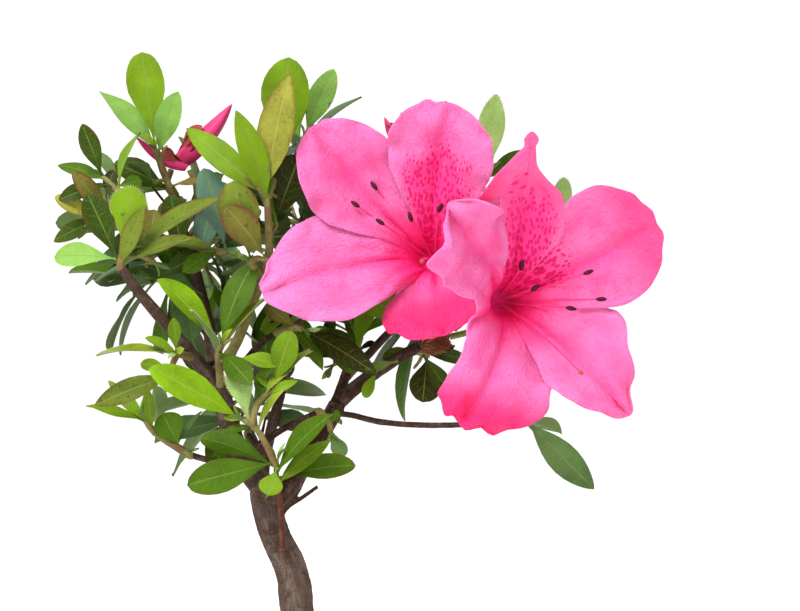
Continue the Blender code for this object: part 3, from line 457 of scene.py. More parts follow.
class BloomSettings(PropertyGroup):
    thickness: FloatProperty(name="Thickness", description="Thickness of a petal",
                             default=0.00042, unit="LENGTH")
    ruffle: FloatProperty(name="Ruffle", description="Height of the waves in the petals' edges",
                          default=0.0009, unit="LENGTH")
    spot_spacing: FloatProperty(name="Spot spacing", description="Distance between blotch spots",
                                default=0.00098, unit="LENGTH")
    petal: paint("Petal", "#fc5ca4", "The petals' own pink")
    light: paint("Light pink", "#fe8ccd", "Paler pink toward the petals' edges")
    # Flush: partly the petals' own rose red, partly painted shade for petals that lie in shade.
    flush: paint("Flush", "#fb2f75", "Rose red that some petals turn to")
    deep: paint("Deep pink", "#fb2f8a", "Under the blotch and along the middle")
    throat: paint("Throat", "#ff2c84", "Red pink deep in the tube")
    spot: paint("Spots", "#d81868", "The blotch's spots")
    filament: paint("Filaments", "#f53a7e", "Stamen threads and the pistil")
    anther: paint("Anthers", "#560f2a", "Dark maroon anthers")
    stigma: paint("Stigma", "#cc6a58", "Knob at the pistil's end")
    calyx: paint("Calyx", "#7c9440", "Green calyx and stalk")


class BudSettings(PropertyGroup):
    petal: paint("Bud petal", "#ee3f7e", "Furled petals")
    bract: paint("Bract", "#a0443a", "Red brown scales round the buds")
    scale: paint("Winter scale", "#743b23", "Scales of the brown bud")
    hair: paint("Hair", "#b98a58", "Rusty hairs")


class StageSettings(PropertyGroup):
    floor: FloatProperty(name="Floor radius", description="Radius of the pale floor",
                         default=40, unit="LENGTH")
    paper: paint("Floor", "#fafafa", "Plain pale floor")
    sky: FloatProperty(name="Surrounding light", description="Strength of the even light",
                       default=1.1, min=0)
    key: FloatProperty(name="Key light", description="Power of the large soft light, in watts",
                       default=19.0, min=0)
    distance: FloatProperty(name="Camera distance", description="From the lens to the trunk",
                            default=0.7, unit="LENGTH")
    lens: FloatProperty(name="Lens", description="Focal length in millimetres", default=126)


# Small tools

def add(tree, kind, links=None, out=0, **settings):
    """Add a shader node with its settings, and its sockets set or linked, and give an output."""
    made = tree.nodes.new(kind)
    for name, value in settings.items():
        setattr(made, name, value)
    for key, value in (links or {}).items():
        if isinstance(value, bpy.types.NodeSocket):
            tree.links.new(value, made.inputs[key])
        else:
            made.inputs[key].default_value = value
    return made.outputs[out]


def new_material(name, roughness, **sockets):
    """A material with a Principled shader whose plain values are set on its own sockets."""
    made = bpy.data.materials.new(name)
    made.use_nodes = True
    shader = made.node_tree.nodes["Principled BSDF"]
    shader.inputs["Roughness"].default_value = roughness
    for key, value in sockets.items():
        shader.inputs[key.replace("_", " ")].default_value = value
    return made, made.node_tree, shader


def rgba(colour, shade=1.0):
    """What a surface reflects to look like the colour in this light, lighter or darker."""
    return (*(min(1.0, c * shade * REFLECTED) for c in colour), 1.0)


def ease(value):
    value = min(1.0, max(0.0, value))
    return value * value * (3 - 2 * value)


def smooth_path(points, steps):
    """A Catmull-Rom curve through the control points."""
    points = [Vector(p) for p in points]
    ends = [2 * points[0] - points[1], *points, 2 * points[-1] - points[-2]]
    path = []
    for i in range(1, len(ends) - 2):
        a, b, c, d = ends[i - 1:i + 3]
        for k in range(steps):
            t = k / steps
            path.append(0.5 * (2 * b + (c - a) * t + (2 * a - 5 * b + 4 * c - d) * t * t
                               + (3 * b - a - 3 * c + d) * t ** 3))
    return path + [points[-1]]


def tangents(path):
    last = len(path) - 1
    return [(path[min(i + 1, last)] - path[max(i - 1, 0)]).normalized() for i in range(last + 1)]


def bearing(clock, lean):
    """A direction on the clock, leaned toward the front."""
    c, l = math.radians(clock), math.radians(lean)
    return Vector((math.sin(c) * math.cos(l), -math.sin(l), math.cos(c) * math.cos(l)))


class Shell:
    """Vertices in millimetres and faces with a material index and corner coordinates."""

    def __init__(self):
        self.spots = []
        self.faces = []
        self.kinds = []
        self.corners = {}
        self.marks = {}

    def spot(self, point, **marks):
        self.spots.append(Vector(point))
        for name, value in marks.items():
            self.marks.setdefault(name, {})[len(self.spots) - 1] = value
        return len(self.spots) - 1

    def face(self, ring, kind=0, **corners):
        self.faces.append(tuple(ring))
        self.kinds.append(kind)
        for name, places in corners.items():
            self.corners.setdefault(name, {})[len(self.faces) - 1] = places

    def piece(self, name, materials):
        """The shell as a shaded mesh object, its place in its vertices."""
        mesh = bpy.data.meshes.new(name)
        mesh.from_pydata([point * MM for point in self.spots], [], self.faces)
        for made in materials:
            mesh.materials.append(made)
        mesh.polygons.foreach_set("material_index", self.kinds)
        mesh.polygons.foreach_set("use_smooth", [True] * len(self.faces))
        for layer, places in self.corners.items():
            uv = mesh.uv_layers.new(name=layer)
            for index, polygon in enumerate(mesh.polygons):
                if index in places:
                    for loop, place in zip(polygon.loop_indices, places[index]):
                        uv.data[loop].uv = place
        for mark, values in self.marks.items():
            layer = mesh.attributes.new(mark, "FLOAT", "POINT")
            layer.data.foreach_set("value", [values.get(i, 0.0) for i in range(len(self.spots))])
        mesh.validate()
        made = bpy.data.objects.new(name, mesh)
        bpy.context.scene.collection.objects.link(made)
        only(made)
        bpy.ops.object.shade_smooth_by_angle(angle=RIM_ANGLE)
        return made


def join_rings(shell, rings, kind):
    """The faces of a round body from its rings, with both ends closed."""
    for low, high in zip(rings, rings[1:]):
        for k in range(len(low)):
            n = (k + 1) % len(low)
            shell.face((low[k], low[n], high[n], high[k]), kind)
    shell.face(rings[0][::-1], kind)
    shell.face(rings[-1], kind)


def tube(shell, path, radii, sides, kind=0):
    """A closed round tube along a path."""
    along = tangents(path)
    side = along[0].cross(FRONT)
    if side.length < ALMOST_ALONG:
        side = along[0].cross(RIGHT)
    rings = []
    for point, way, radius in zip(path, along, radii):
        side = (side - way * side.dot(way)).normalized()
        other = way.cross(side)
        ring = []
        for k in range(sides):
            angle = 2 * math.pi * k / sides
            ring.append(shell.spot(point + (side * math.cos(angle) + other * math.sin(angle))
                                   * radius))
        rings.append(ring)
    join_rings(shell, rings, kind)
    return rings


def turned_body(shell, base, axis, profile, sides, kind):
    """A closed body of revolution from its profile of heights and radii."""
    side = axis.orthogonal().normalized()
    rings = [[shell.spot(base + axis * height
                         + Matrix.Rotation(2 * math.pi * k / sides, 3, axis) @ side * radius)
              for k in range(sides)] for height, radius in profile]
    join_rings(shell, rings, kind)


def settle(piece, nodes):
    """A finished piece rides with the plant and stands for its nodes, which it hides."""
    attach(piece, "root")
    if nodes:
        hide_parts(*nodes)


def deselect():
    bpy.ops.object.select_all(action="DESELECT")


def only(item):
    deselect()
    item.select_set(True)
    bpy.context.view_layer.objects.active = item


# Growth: the rule of the solids, written again

def node_tree_mm(*names):
    """The faces of CAD nodes, in millimetres."""
    spots, faces = [], []
    for name in names:
        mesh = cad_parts[name].data
        faces += [tuple(len(spots) + i for i in p.vertices) for p in mesh.polygons]
        spots += [v.co / MM for v in mesh.vertices]
    return BVHTree.FromPolygons(spots, faces)


def away(tree, point):
    return tree.find_nearest(point)[3]


def limb_paths():
    paths = {"trunk": (smooth_path(TRUNK_PATH, LIMB_SPAN), TRUNK_FOOT, TRUNK_TOP)}
    for name, limb in LIMBS.items():
        paths[name] = (smooth_path(limb.path, LIMB_SPAN), limb.start, limb.end)
    return paths


def limb_point(limb, share):
    """A limb's middle, its way and its radius at a share of its length."""
    path, start, end = limb
    place = share * (len(path) - 1)
    low = min(int(place), len(path) - 2)
    point = path[low].lerp(path[low + 1], place - low)
    return point, (path[low + 1] - path[low]).normalized(), start + (end - start) * share


def twig_path(start, way, hub):
    """A twig sets off along its carrier's way and turns to its hub."""
    reach = (hub - start).length
    knee = start + way * reach * TWIG_KNEE
    mid = knee.lerp(hub, 0.5) + (hub - start).cross(UP).normalized() * reach * TWIG_SAG
    return smooth_path((start, mid, hub), LIMB_SPAN)


def stem_path(limb, share, hub, tree):
    """A mass's first twig, from where its solid starts, and the limb's middle behind it."""
    point, way, radius = limb_point(limb, share)
    at_end = share == 1
    heading = way if at_end else (hub - point).normalized()
    best = None
    for step in range(STEM_TRIES):
        clear = STEM_GAP + STEM_STEP * step + (0 if at_end else radius)
        start = point + heading * clear
        off = away(tree, start)
        if best is None or off < best[0] - NO_NEARER:
            best = (off, start)
        if best[0] < START_NEAR:
            break
    return twig_path(best[1], heading, hub), point - heading * LEAD_SUNK


def branch_path(runs, hub, tree):
    """A later twig leaves the first fork whose path lies on the solid."""
    forks = [(spot, run, i) for run in runs for i, spot in enumerate(run[:-1]) if i]
    forks.sort(key=lambda fork: (fork[0] - hub).length + FORK_ABOVE * max(0, fork[0].z - hub.z))
    best = None
    for spot, run, i in forks:
        path = twig_path(spot, (run[i + 1] - run[i]).normalized(), hub)
        off = max(away(tree, p) for p in path)
        if off < TWIG_RADIUS:
            return path
        if best is None or off < best[0]:
            best = (off, path)
    return best[1] if best[0] < PATH_NEAR else None


def back_along(path, distance):
    """The point that far back from the path's end, kept off its start."""
    for near, far in zip(path[::-1], path[-2::-1]):
        span = (far - near).length
        if distance <= span or far is path[0]:
            return near.lerp(far, min(distance / span, BACK_LIMIT))
        distance -= span
    return path[0]


def shoot_leaves(shoot, rng):
    """Each leaf of a shoot: bearing, lean, length, width share, roll and the way it faces."""
    leaves = []
    for i, (clock, length, *wide) in enumerate(shoot.leaves):
        share = wide[0] if wide else LEAF_WIDTH
        lean = LEANS[i % len(LEANS)]
        leaves.append((clock, lean, length, share, rng.uniform(-ROLL, ROLL), FACE_FRONT))
    for i, (clock, length) in enumerate(shoot.edge):
        level = bearing(clock, 0).cross(FRONT)
        level = level if level.z > 0 else -level
        leaves.append((clock, LEANS[i + 1], length, LEAF_WIDTH, EDGE_ROLL, level))
    for i in range(shoot.back):
        clock = GOLDEN * i + rng.uniform(-BACK_TURN, BACK_TURN)
        length = BACK_LENGTH * rng.uniform(*LENGTH_SPREAD)
        lean = BACK_LEAN + rng.uniform(-BACK_LEAN_SPREAD, BACK_LEAN_SPREAD)
        leaves.append((clock, lean, length, LEAF_WIDTH, rng.uniform(-ROLL, ROLL), FACE_BACK))
    return leaves


def dome_shoots(dome, rng):
    """Shoots spread over a dome from its top down by the golden angle."""
    centre = Vector(dome.centre)
    shoots = []
    for i in range(dome.shoots):
        height = DOME_TOP - DOME_SPAN * (i + 0.5) / dome.shoots
        around = math.radians(GOLDEN * i + rng.uniform(-DOME_TURN, DOME_TURN))
        flat = math.sqrt(1 - height * height)
        spot = (math.cos(around) * flat, math.sin(around) * flat, height)
        offset = Vector([share * radius for share, radius in zip(spot, dome.radii)])
        shoots.append(Shoot(tuple(centre + offset * DOME_DEPTH), (), back=0,
                            tints=DOME_TINTS[i % len(DOME_TINTS)] * dome.leaves))
    return shoots


def dome_leaves(shoot, dome, rng):
    """Leaves set round a shoot that points out of the dome, from its tip outwards."""
    axis = (Vector(shoot.at) - Vector(dome.centre)).normalized()
    side = axis.orthogonal().normalized()
    other = axis.cross(side)
    face = (axis + UP).normalized()
    leaves = []
    for i in range(dome.leaves):
        turn = math.radians(GOLDEN * i)
        spread = math.radians(DOME_SPREAD[0] + (DOME_SPREAD[1] - DOME_SPREAD[0]) * i / dome.leaves)
        around = side * math.cos(turn) + other * math.sin(turn)
        way = axis * math.cos(spread) + around * math.sin(spread)
        lean = math.degrees(math.asin(max(-1, min(1, -way.y))))
        clock = math.degrees(math.atan2(way.x, way.z))
        length = DOME_LENGTH * rng.uniform(*LENGTH_SPREAD)
        leaves.append((clock, lean, length, DOME_WIDTH, rng.uniform(-ROLL, ROLL), face))
    return leaves


def grown_leaf(spec, hub, root, tree, tint, node):
    """The leaf at the first lean at which the solid has it, or None where the solid has none."""
    clock, lean, length, share, roll, face = spec
    for extra in LEAN_TRIES:
        tip = hub + bearing(clock, lean + extra) * length
        reach = (tip - root).length
        way = (tip - root) / reach
        turned = Matrix.Rotation(math.radians(roll), 3, way) @ face
        normal = (turned - way * turned.dot(way)).normalized()
        middle = root + way * reach * BLADE_MIDDLE + normal * LEAF_ARCH * reach * ARCH_THERE
        if away(tree, tip) < TIP_NEAR and away(tree, middle) < BLADE_NEAR:
            if roll == EDGE_ROLL:
                turned.y = -EDGE_SHOWN * abs(turned.y)
            return Leaf(root, way, turned, reach, share * length, tint, node)
    return None


def grow(name, plan, limbs):
    """The twigs and leaves of one mass."""
    rng = random.Random(name)
    tree = node_tree_mm(name)
    dome = isinstance(plan, Dome)
    shoots = dome_shoots(plan, rng) if dome else plan.shoots
    runs, twigs, leaves = [], [], []
    for shoot in shoots:
        hub = Vector(shoot.at)
        if runs:
            path = branch_path(runs, hub, tree)
            lead = None
        else:
            path, lead = stem_path(limbs[plan.limb], plan.share, hub, tree)
        if path is None:
            continue
        runs.append(path)
        if lead is None:
            twigs.append(Twig(path, TWIG_RADIUS, name))
        elif LIMBS[plan.limb].bark == "red":
            twigs.append(Twig([lead, *path], RED_SHOOT, name, "red"))
        else:
            twigs.append(Twig([lead, *path], LEAD_RADIUS, name))
        specs = dome_leaves(shoot, plan, rng) if dome else shoot_leaves(shoot, rng)
        for i, spec in enumerate(specs):
            root = back_along(path, ROOT_FIRST + ROOT_STEP * i)
            tint = shoot.tints[min(i, len(shoot.tints) - 1)]
            leaf = grown_leaf(spec, hub, root, tree, tint, name)
            if leaf:
                leaves.append(leaf)
    return twigs, leaves


def grow_all():
    """Every twig and leaf: those of the solids, then the finer ones that only the looks have."""
    limbs = limb_paths()
    twigs, leaves = [], []
    for name, plan in (*MASSES.items(), *DOMES.items()):
        more_twigs, more_leaves = grow(name, plan, limbs)
        twigs += more_twigs
        leaves += more_leaves
    rng = random.Random("twiglets")
    crown, blooms = node_tree_mm(*MASSES, *DOMES), node_tree_mm(*BLOOMS)
    small_twigs, small_leaves = [], []
    for twig in twigs:
        more_twigs, more_leaves = twiglets(twig, crown, blooms, rng)
        small_twigs += more_twigs
        small_leaves += more_leaves
    for name, limb in LIMBS.items():
        if limb.bark in ("dark", "bough") and limb.start > BARE_FROM:
            small_twigs += bare_twigs(limb, crown, blooms, rng)
    for node, root, clock, lean, length, share, tint in SINGLE_LEAVES:
        face = (FACE_FRONT + bearing(clock, 0) * FACE_TIPPED).normalized()
        small_leaves.append(Leaf(Vector(root), bearing(clock, lean), face, length, share * length,
                                 tint, node))
    bud_path = [Vector(point) for point in BUD_TWIG]
    small_twigs.append(Twig(bud_path, BUD_TWIG_RADIUS, "leaves_behind_blooms"))
    return twigs + small_twigs, leaves + small_leaves


def twiglets(twig, crown, blooms, rng):
    """Finer twigs that leave a twig by the golden angle, with leaves on and between them."""
    path = smooth_path(twig.path, LIMB_SPAN)
    reach = sum((far - near).length for near, far in zip(path, path[1:]))
    twigs, leaves = [], []
    turn = rng.uniform(0, 360)
    distance = TWIGLET_GAP
    while distance < reach - TWIGLET_END:
        root = back_along(path, distance)
        way = (path[-1] - path[0]).normalized()
        side = Matrix.Rotation(math.radians(turn), 3, way) @ way.orthogonal().normalized()
        out = (side + way * rng.uniform(0.2, 0.9)).normalized()
        out = (out + UP * rng.uniform(0, 0.5)).normalized()
        distance += TWIGLET_GAP
        turn += GOLDEN
        length = rng.uniform(*TWIGLET_LENGTHS)
        tip = root + out * length
        if not within(tip, crown, blooms):
            continue
        knee = root.lerp(tip, 0.5) + way * TWIGLET_BOW
        twigs.append(Twig([root - out * TWIGLET_SUNK, knee, tip], TWIGLET_RADIUS, twig.node))
        for i in range(TWIGLET_LEAVES):
            spin = Matrix.Rotation(math.radians(GOLDEN * i + turn), 3, out)
            leaf_way = (out * rng.uniform(0.4, 1.3) + spin @ out.orthogonal().normalized())
            leaf_way = leaf_way.normalized()
            leaf_length = rng.uniform(*SMALL_LEAVES)
            seat = tip - out * SMALL_STEP * i
            if within(seat + leaf_way * leaf_length, crown, blooms):
                face = (out + UP + FRONT * 0.6).normalized()
                leaves.append(Leaf(seat, leaf_way, face, leaf_length, leaf_length * SMALL_WIDTH,
                                   rng.choice(SMALL_TINTS), twig.node))
    return twigs, leaves


def bare_twigs(limb, crown, blooms, rng):
    """Thin leafless twigs along an older bough, each with a kink."""
    path = smooth_path(limb.path, LIMB_SPAN)
    twigs = []
    turn = rng.uniform(0, 360)
    for near, far in zip(path[1:], path[2:]):
        way = (far - near).normalized()
        side = Matrix.Rotation(math.radians(turn), 3, way) @ way.orthogonal().normalized()
        turn += GOLDEN
        out = (side + way * rng.uniform(0.3, 1.2) + UP * 0.4).normalized()
        tip = near + out * rng.uniform(*BARE_LENGTHS)
        if within(tip, crown, blooms):
            kink = near.lerp(tip, 0.5) + way * rng.uniform(-BARE_KINK, BARE_KINK)
            twigs.append(Twig([near, kink, tip], BARE_RADIUS, None, "bare"))
    return twigs


def within(point, crown, blooms):
    """Whether a point is clear of the petals and in the crown or in a small gap of it."""
    if away(blooms, point) < BLOOM_CLEAR:
        return False
    if away(crown, point) < CROWN_REACH:
        return True
    sides = sum(crown.ray_cast(point, way, GAP_REACH)[0] is not None
                for way in (UP, -UP, RIGHT, -RIGHT))
    return sides == 4


# Wood

# Millimetres, shares and turns of a pattern to a millimetre
FOOT_LEAN = 0.02        # sideways for each millimetre up
FOOT_FLAT = 0.2         # what lies lower is pressed flat on the ground
BARK_FROM = 0.3         # the bark has no relief below this
LIMB_RINGS = 6          # rings to a span of a limb's path
FORK_RINGS = 4
FORK_TAPER = 0.04       # how much each ring between the trunk and its leader narrows
SHOOT_THIN = 0.72       # the low front shoot beside its solid
BROWNING = 0.6          # how far the trunk's grey turns to the boughs' brown
BROWN_FROM = 28
BROWN_OVER = 30
NEAREST = 6             # places along the limbs that a vertex takes its colour from
NEAR_GAP = 0.2
NEAR_POWER = 6
FURROW_ACROSS = 0.9
FURROW_ALONG = 0.16
FURROW_DEPTH = 0.8
PLATE_ACROSS = 0.35
PLATE_ALONG = 0.10
PLATE_DEPTH = 1.1
KNOT_APART = 0.22
KNOT_RARE = 0.35
KNOT_HEIGHT = 1.4
FULL_RELIEF = 3.4       # a limb this thick has the bark's full relief


def root_flare(angle, height):
    """How far the root flare stands out of the trunk."""
    rise = max(0.0, 1 - height / FLARE_HEIGHT)
    lobe = 1 - LOBE_DEPTH + LOBE_DEPTH * math.cos(FLARE_LOBES * angle)
    return FLARE_WIDTH * rise ** 2 * lobe


def wood_lines():
    """Every limb as its fine path, its radii and its bark."""
    foot = [Vector((FOOT_LEAN * z, 0, z)) for z in TRUNK_RINGS]
    path = foot + smooth_path(TRUNK_PATH, LIMB_RINGS)[LIMB_RINGS:]
    count = len(path) - 1
    lines = [("trunk", path, [TRUNK_FOOT + (TRUNK_TOP - TRUNK_FOOT) * i / count
                              for i in range(count + 1)], "trunk")]
    for name, limb in LIMBS.items():
        path = smooth_path(limb.path, LIMB_RINGS)
        count = len(path) - 1
        radii = [limb.start + (limb.end - limb.start) * i / count for i in range(count + 1)]
        if name == "leader_left":
            fork = smooth_path((*TRUNK_PATH[-3:-1], path[0]), FORK_RINGS)[FORK_RINGS:-1]
            path = fork + path
            radii = [TRUNK_TOP - FORK_TAPER * i for i in range(len(fork))] + radii
        if name == "bough_front":
            radii = [SHOOT_THIN * radius for radius in radii]
        lines.append((name, path, radii, limb.bark))
    return lines


def spread_foot(shell, ring):
    """The root flare's lobes round one of the trunk's rings, flat where it meets the ground."""
    for k, index in enumerate(ring):
        point = shell.spots[index]
        if point.z < FLARE_HEIGHT:
            out = point - Vector((FOOT_LEAN * point.z, 0, point.z))
            out.z = 0
            point += out.normalized() * root_flare(2 * math.pi * k / len(ring), point.z)
        if point.z < FOOT_FLAT:
            point.z = 0


def rough_wood(lines):
    """All limbs as round tubes, each sunk in its carrier, voxel remeshed into one skin."""
    shell = Shell()
    for name, path, radii, bark in lines:
        rings = tube(shell, path, radii, LIMB_SIDES)
        if name == "trunk":
            for ring in rings:
                spread_foot(shell, ring)
    piece = shell.piece("wood", [])
    only(piece)
    piece.data.remesh_voxel_size = bpy.context.scene.azalea_bark.voxel
    bpy.ops.object.voxel_remesh()
    softened = piece.modifiers.new("softened", "SMOOTH")
    softened.factor = 0.5
    softened.iterations = 3
    bpy.ops.object.modifier_apply(modifier="softened")
    return piece


def carve_bark(piece, lines, settings):
    """Furrows along the limbs, and the attributes that the bark's colours follow."""
    colours = {kind: Vector(getattr(settings, kind))
               for kind in ("trunk", "bough", "dark", "red", "young")}
    samples = []
    for name, path, radii, bark in lines:
        run = 0.0
        side = (path[1] - path[0]).normalized().orthogonal().normalized()
        for i, (way, point, radius) in enumerate(zip(tangents(path), path, radii)):
            side = (side - way * side.dot(way)).normalized()
            if name != "bough_front" or point.y < BARK_EDGE:
                samples.append((point, way, side, radius, run, bark))
            if i + 1 < len(path):
                run += (path[i + 1] - point).length
    tree = KDTree(len(samples))
    for i, sample in enumerate(samples):
        tree.insert(sample[0], i)
    tree.balance()
    mesh = piece.data
    places, tints = [], []
    normals = [v.normal.copy() for v in mesh.vertices]
    for vertex, normal in zip(mesh.vertices, normals):
        spot = vertex.co / MM
        total, tint, best = 0.0, Vector((0, 0, 0)), None
        for point, index, distance in tree.find_n(spot, NEAREST):
            sample = samples[index]
            gap = (spot - point).length / sample[3]
            weight = 1 / max(NEAR_GAP, gap) ** NEAR_POWER
            bark = sample[5]
            colour = colours[bark]
            if bark == "trunk":
                brown = BROWNING * ease((spot.z - BROWN_FROM) / BROWN_OVER)
                colour = colour.lerp(colours["bough"], brown)
            total += weight
            tint += colour * REFLECTED * weight
            if best is None or gap < best[0]:
                best = (gap, sample)
        point, way, side, radius, run = best[1][:5]
        offset = spot - point
        other = way.cross(side)
        place = Vector((offset.dot(side), offset.dot(other), run + offset.dot(way)))
        places.extend(place * MM)
        tints.extend((*(tint / total), 1))
        furrow = noise.fractal(Vector((place.x * FURROW_ACROSS, place.y * FURROW_ACROSS,
                                       place.z * FURROW_ALONG)), 0.8, 2.0, 4)
        plate = noise.noise(Vector((place.x * PLATE_ACROSS, place.y * PLATE_ACROSS,
                                    place.z * PLATE_ALONG + 7)))
        knot = max(0.0, noise.noise(spot * KNOT_APART + Vector((3, 5, 1))) - KNOT_RARE)
        size = min(1.0, radius / FULL_RELIEF)
        relief = settings.relief / MM * (furrow * FURROW_DEPTH + plate * PLATE_DEPTH)
        depth = relief * size + knot * KNOT_HEIGHT * size
        if spot.z < BARK_FROM:
            depth = 0
        vertex.co += normal * depth * MM
        if vertex.co.z < 0:
            vertex.co.z = 0
    mesh.attributes.new("bark_place", "FLOAT_VECTOR", "POINT").data.foreach_set("vector", places)
    mesh.attributes.new("bark_colour", "FLOAT_COLOR", "POINT").data.foreach_set("color", tints)


def bark_material():
    """Living azalea bark: thin, grey brown, finely furrowed along the limb, dull."""
    made, tree, shader = new_material("azalea_bark", 0.82, Specular_IOR_Level=0.15)
    place = add(tree, "ShaderNodeAttribute", attribute_name="bark_place", out="Vector")
    tint = add(tree, "ShaderNodeAttribute", attribute_name="bark_colour", out="Color")
    # fibres 0.4 mm wide, drawn out five times along the limb
    stretched = add(tree, "ShaderNodeMapping", {"Vector": place, "Scale": (1, 1, 0.2)})
    fibres = add(tree, "ShaderNodeTexNoise",
                 {"Vector": stretched, "Scale": 2400, "Detail": 4, "Roughness": 0.62})
    # lichen grey patches 3 mm wide, drawn out in the same way
    patches = add(tree, "ShaderNodeTexNoise",
                  {"Vector": stretched, "Scale": 300, "Detail": 5, "Roughness": 0.65})
    dark = add(tree, "ShaderNodeMix", {0: 1.0, 6: tint, 7: (0.70, 0.64, 0.62, 1)},
               data_type="RGBA", blend_type="MULTIPLY", out=2)
    pale = add(tree, "ShaderNodeMix", {0: 0.30, 6: tint, 7: rgba(linear("#b5a99b"))},
               data_type="RGBA", out=2)
    spread = add(tree, "ShaderNodeMapRange", {0: patches, 1: 0.40, 2: 0.66}, **SMOOTH)
    groove = add(tree, "ShaderNodeMapRange", {0: fibres, 1: 0.34, 2: 0.56, 3: 0.75, 4: 0.0}, **SMOOTH)
    # worn darker blots 4 mm wide
    blots = add(tree, "ShaderNodeTexNoise",
                {"Vector": place, "Scale": 260, "Detail": 6, "Roughness": 0.7})
    blot = add(tree, "ShaderNodeMapRange", {0: blots, 1: 0.46, 2: 0.60, 3: 0.0, 4: 0.95}, **SMOOTH)
    # pores 1.7 mm wide and 0.5 mm high, which lie across the limb
    flat = add(tree, "ShaderNodeMapping", {"Vector": place, "Scale": (0.4, 0.4, 1.3)})
    pores = add(tree, "ShaderNodeTexNoise", {"Vector": flat, "Scale": 1500, "Detail": 2})
    pore = add(tree, "ShaderNodeMapRange", {0: pores, 1: 0.60, 2: 0.72, 3: 0.0, 4: 0.6}, **SMOOTH)
    skin = tint
    for mask, coat in ((spread, pale), (groove, dark), (blot, dark), (pore, pale)):
        skin = add(tree, "ShaderNodeMix", {0: mask, 6: skin, 7: coat}, data_type="RGBA", out=2)
    tree.links.new(skin, shader.inputs["Base Color"])
    bump = add(tree, "ShaderNodeBump", {"Height": fibres, "Strength": 0.45, "Distance": 0.0002})
    tree.links.new(bump, shader.inputs["Normal"])
    return made


def make_wood(settings):
    """The trunk, its boughs and the bud stems under one skin of bark."""
    lines = wood_lines()
    piece = rough_wood(lines)
    carve_bark(piece, lines, settings)
    piece.data.materials.clear()
    piece.data.materials.append(bark_material())
    piece.data.polygons.foreach_set("use_smooth", [True] * len(piece.data.polygons))
    settle(piece, ["trunk", *LIMBS])


def shoot_material(colour, red):
    """Bark of this year's shoots: olive, fuzzy and matt, browner in patches."""
    made, tree, shader = new_material("young_shoot_bark", 0.7, Specular_IOR_Level=0.15)
    place = add(tree, "ShaderNodeTexCoord", out="Object")
    # fuzz 0.7 mm across, and brown patches 8 mm long
    fine = add(tree, "ShaderNodeTexNoise", {"Vector": place, "Scale": 1500, "Detail": 3})
    broad = add(tree, "ShaderNodeTexNoise", {"Vector": place, "Scale": 130, "Detail": 2})
    spread = add(tree, "ShaderNodeMapRange", {0: broad, 1: 0.45, 2: 0.66, 3: 0.0, 4: 0.8}, **SMOOTH)
    spots = add(tree, "ShaderNodeMapRange", {0: fine, 1: 0.55, 2: 0.68, 3: 0.0, 4: 0.55}, **SMOOTH)
    skin = rgba(colour)
    for mask, coat in ((spread, rgba(red)), (spots, rgba(red, 0.6))):
        skin = add(tree, "ShaderNodeMix", {0: mask, 6: skin, 7: coat}, data_type="RGBA", out=2)
    tree.links.new(skin, shader.inputs["Base Color"])
    bump = add(tree, "ShaderNodeBump", {"Height": fine, "Strength": 0.5, "Distance": 0.0001})
    tree.links.new(bump, shader.inputs["Normal"])
    return made


def bristles(shell, path, radii, rng):
    """Short flat hairs that lie forward along a shoot."""
    for near, far, radius in zip(path, path[1:], radii):
        way = (far - near).normalized()
        side = way.orthogonal().normalized()
        for _ in range(int((far - near).length * BRISTLES)):
            out = Matrix.Rotation(rng.uniform(0, 2 * math.pi), 3, way) @ side
            root = near.lerp(far, rng.random()) + out * radius * HAIR_SEAT
            lie = (out + way * rng.uniform(*BRISTLE_SLANT)).normalized()
            hair(shell, root, root + lie * rng.uniform(*BRISTLE_LENGTHS), 1)


def hair(shell, root, tip, kind):
    """A three-sided spike."""
    way = (tip - root).normalized()
    side = way.orthogonal().normalized() * HAIR_RADIUS
    ring = [shell.spot(root + Matrix.Rotation(math.radians(120 * k), 3, way) @ side)
            for k in range(3)]
    end = shell.spot(tip)
    for k in range(3):
        shell.face((ring[k], ring[(k + 1) % 3], end), kind)
    shell.face(ring[::-1], kind)


def make_twigs(twigs):
    """All the twigs, a little uneven, the leafy ones with bristles."""
    rng = random.Random("twigs")
    shell = Shell()
    for twig in twigs:
        path = smooth_path(twig.path, TWIG_RINGS)
        count = len(path) - 1
        radii = []
        for i in range(count + 1):
            share = i / count
            radius = twig.thick * (1 - TWIG_TAPER * share)
            radii.append(radius * (1 + rng.uniform(*TWIG_UNEVEN)))
        radii[-1] *= TWIG_END
        tube(shell, path, radii, TWIG_SIDES, TWIG_SKINS[twig.bark])
        if twig.bark == "young":
            bristles(shell, path, radii, rng)
    bark = bpy.context.scene.azalea_bark
    piece = shell.piece("young_shoots", [
        shoot_material(bark.young, bark.fuzz),
        plain_tissue("shoot_hair", bark.hair, 0.6, 500),
        plain_tissue("bare_twig_bark", bark.dark, 0.7, 900),
        plain_tissue("red_shoot_bark", bark.red, 0.7, 700)])
    settle(piece, sorted({twig.node for twig in twigs if twig.node}))


# Leaves

# Which tints have hairy edges, from which length, and the hairs to a row of the blade, each side
FRINGED = "hyp"
FRINGED_FROM = 9
FRINGE = 7
FRINGE_LENGTHS = (0.35, 0.75)
FRINGE_SLANT = (0.5, 1.4)
FRINGE_SUNK = 0.1

# What varies from blade to blade: shares of its length, powers of its outline, and degrees
BULGE = (1.45, 1.75)
BASE_BLUNT = (0.85, 1.05)
TIP_BLUNT = (0.43, 0.57)
DROOP = (-0.02, 0.07)
SWAY = (-0.04, 0.04)
TWIST = 16
FOLD_SHARE = (0.5, 1.5)
CURL = (-0.05, 0.13)
WAVES = (0.0, 0.05)
WAVE_BEAT = 9
WAVE_SHARE = 0.35

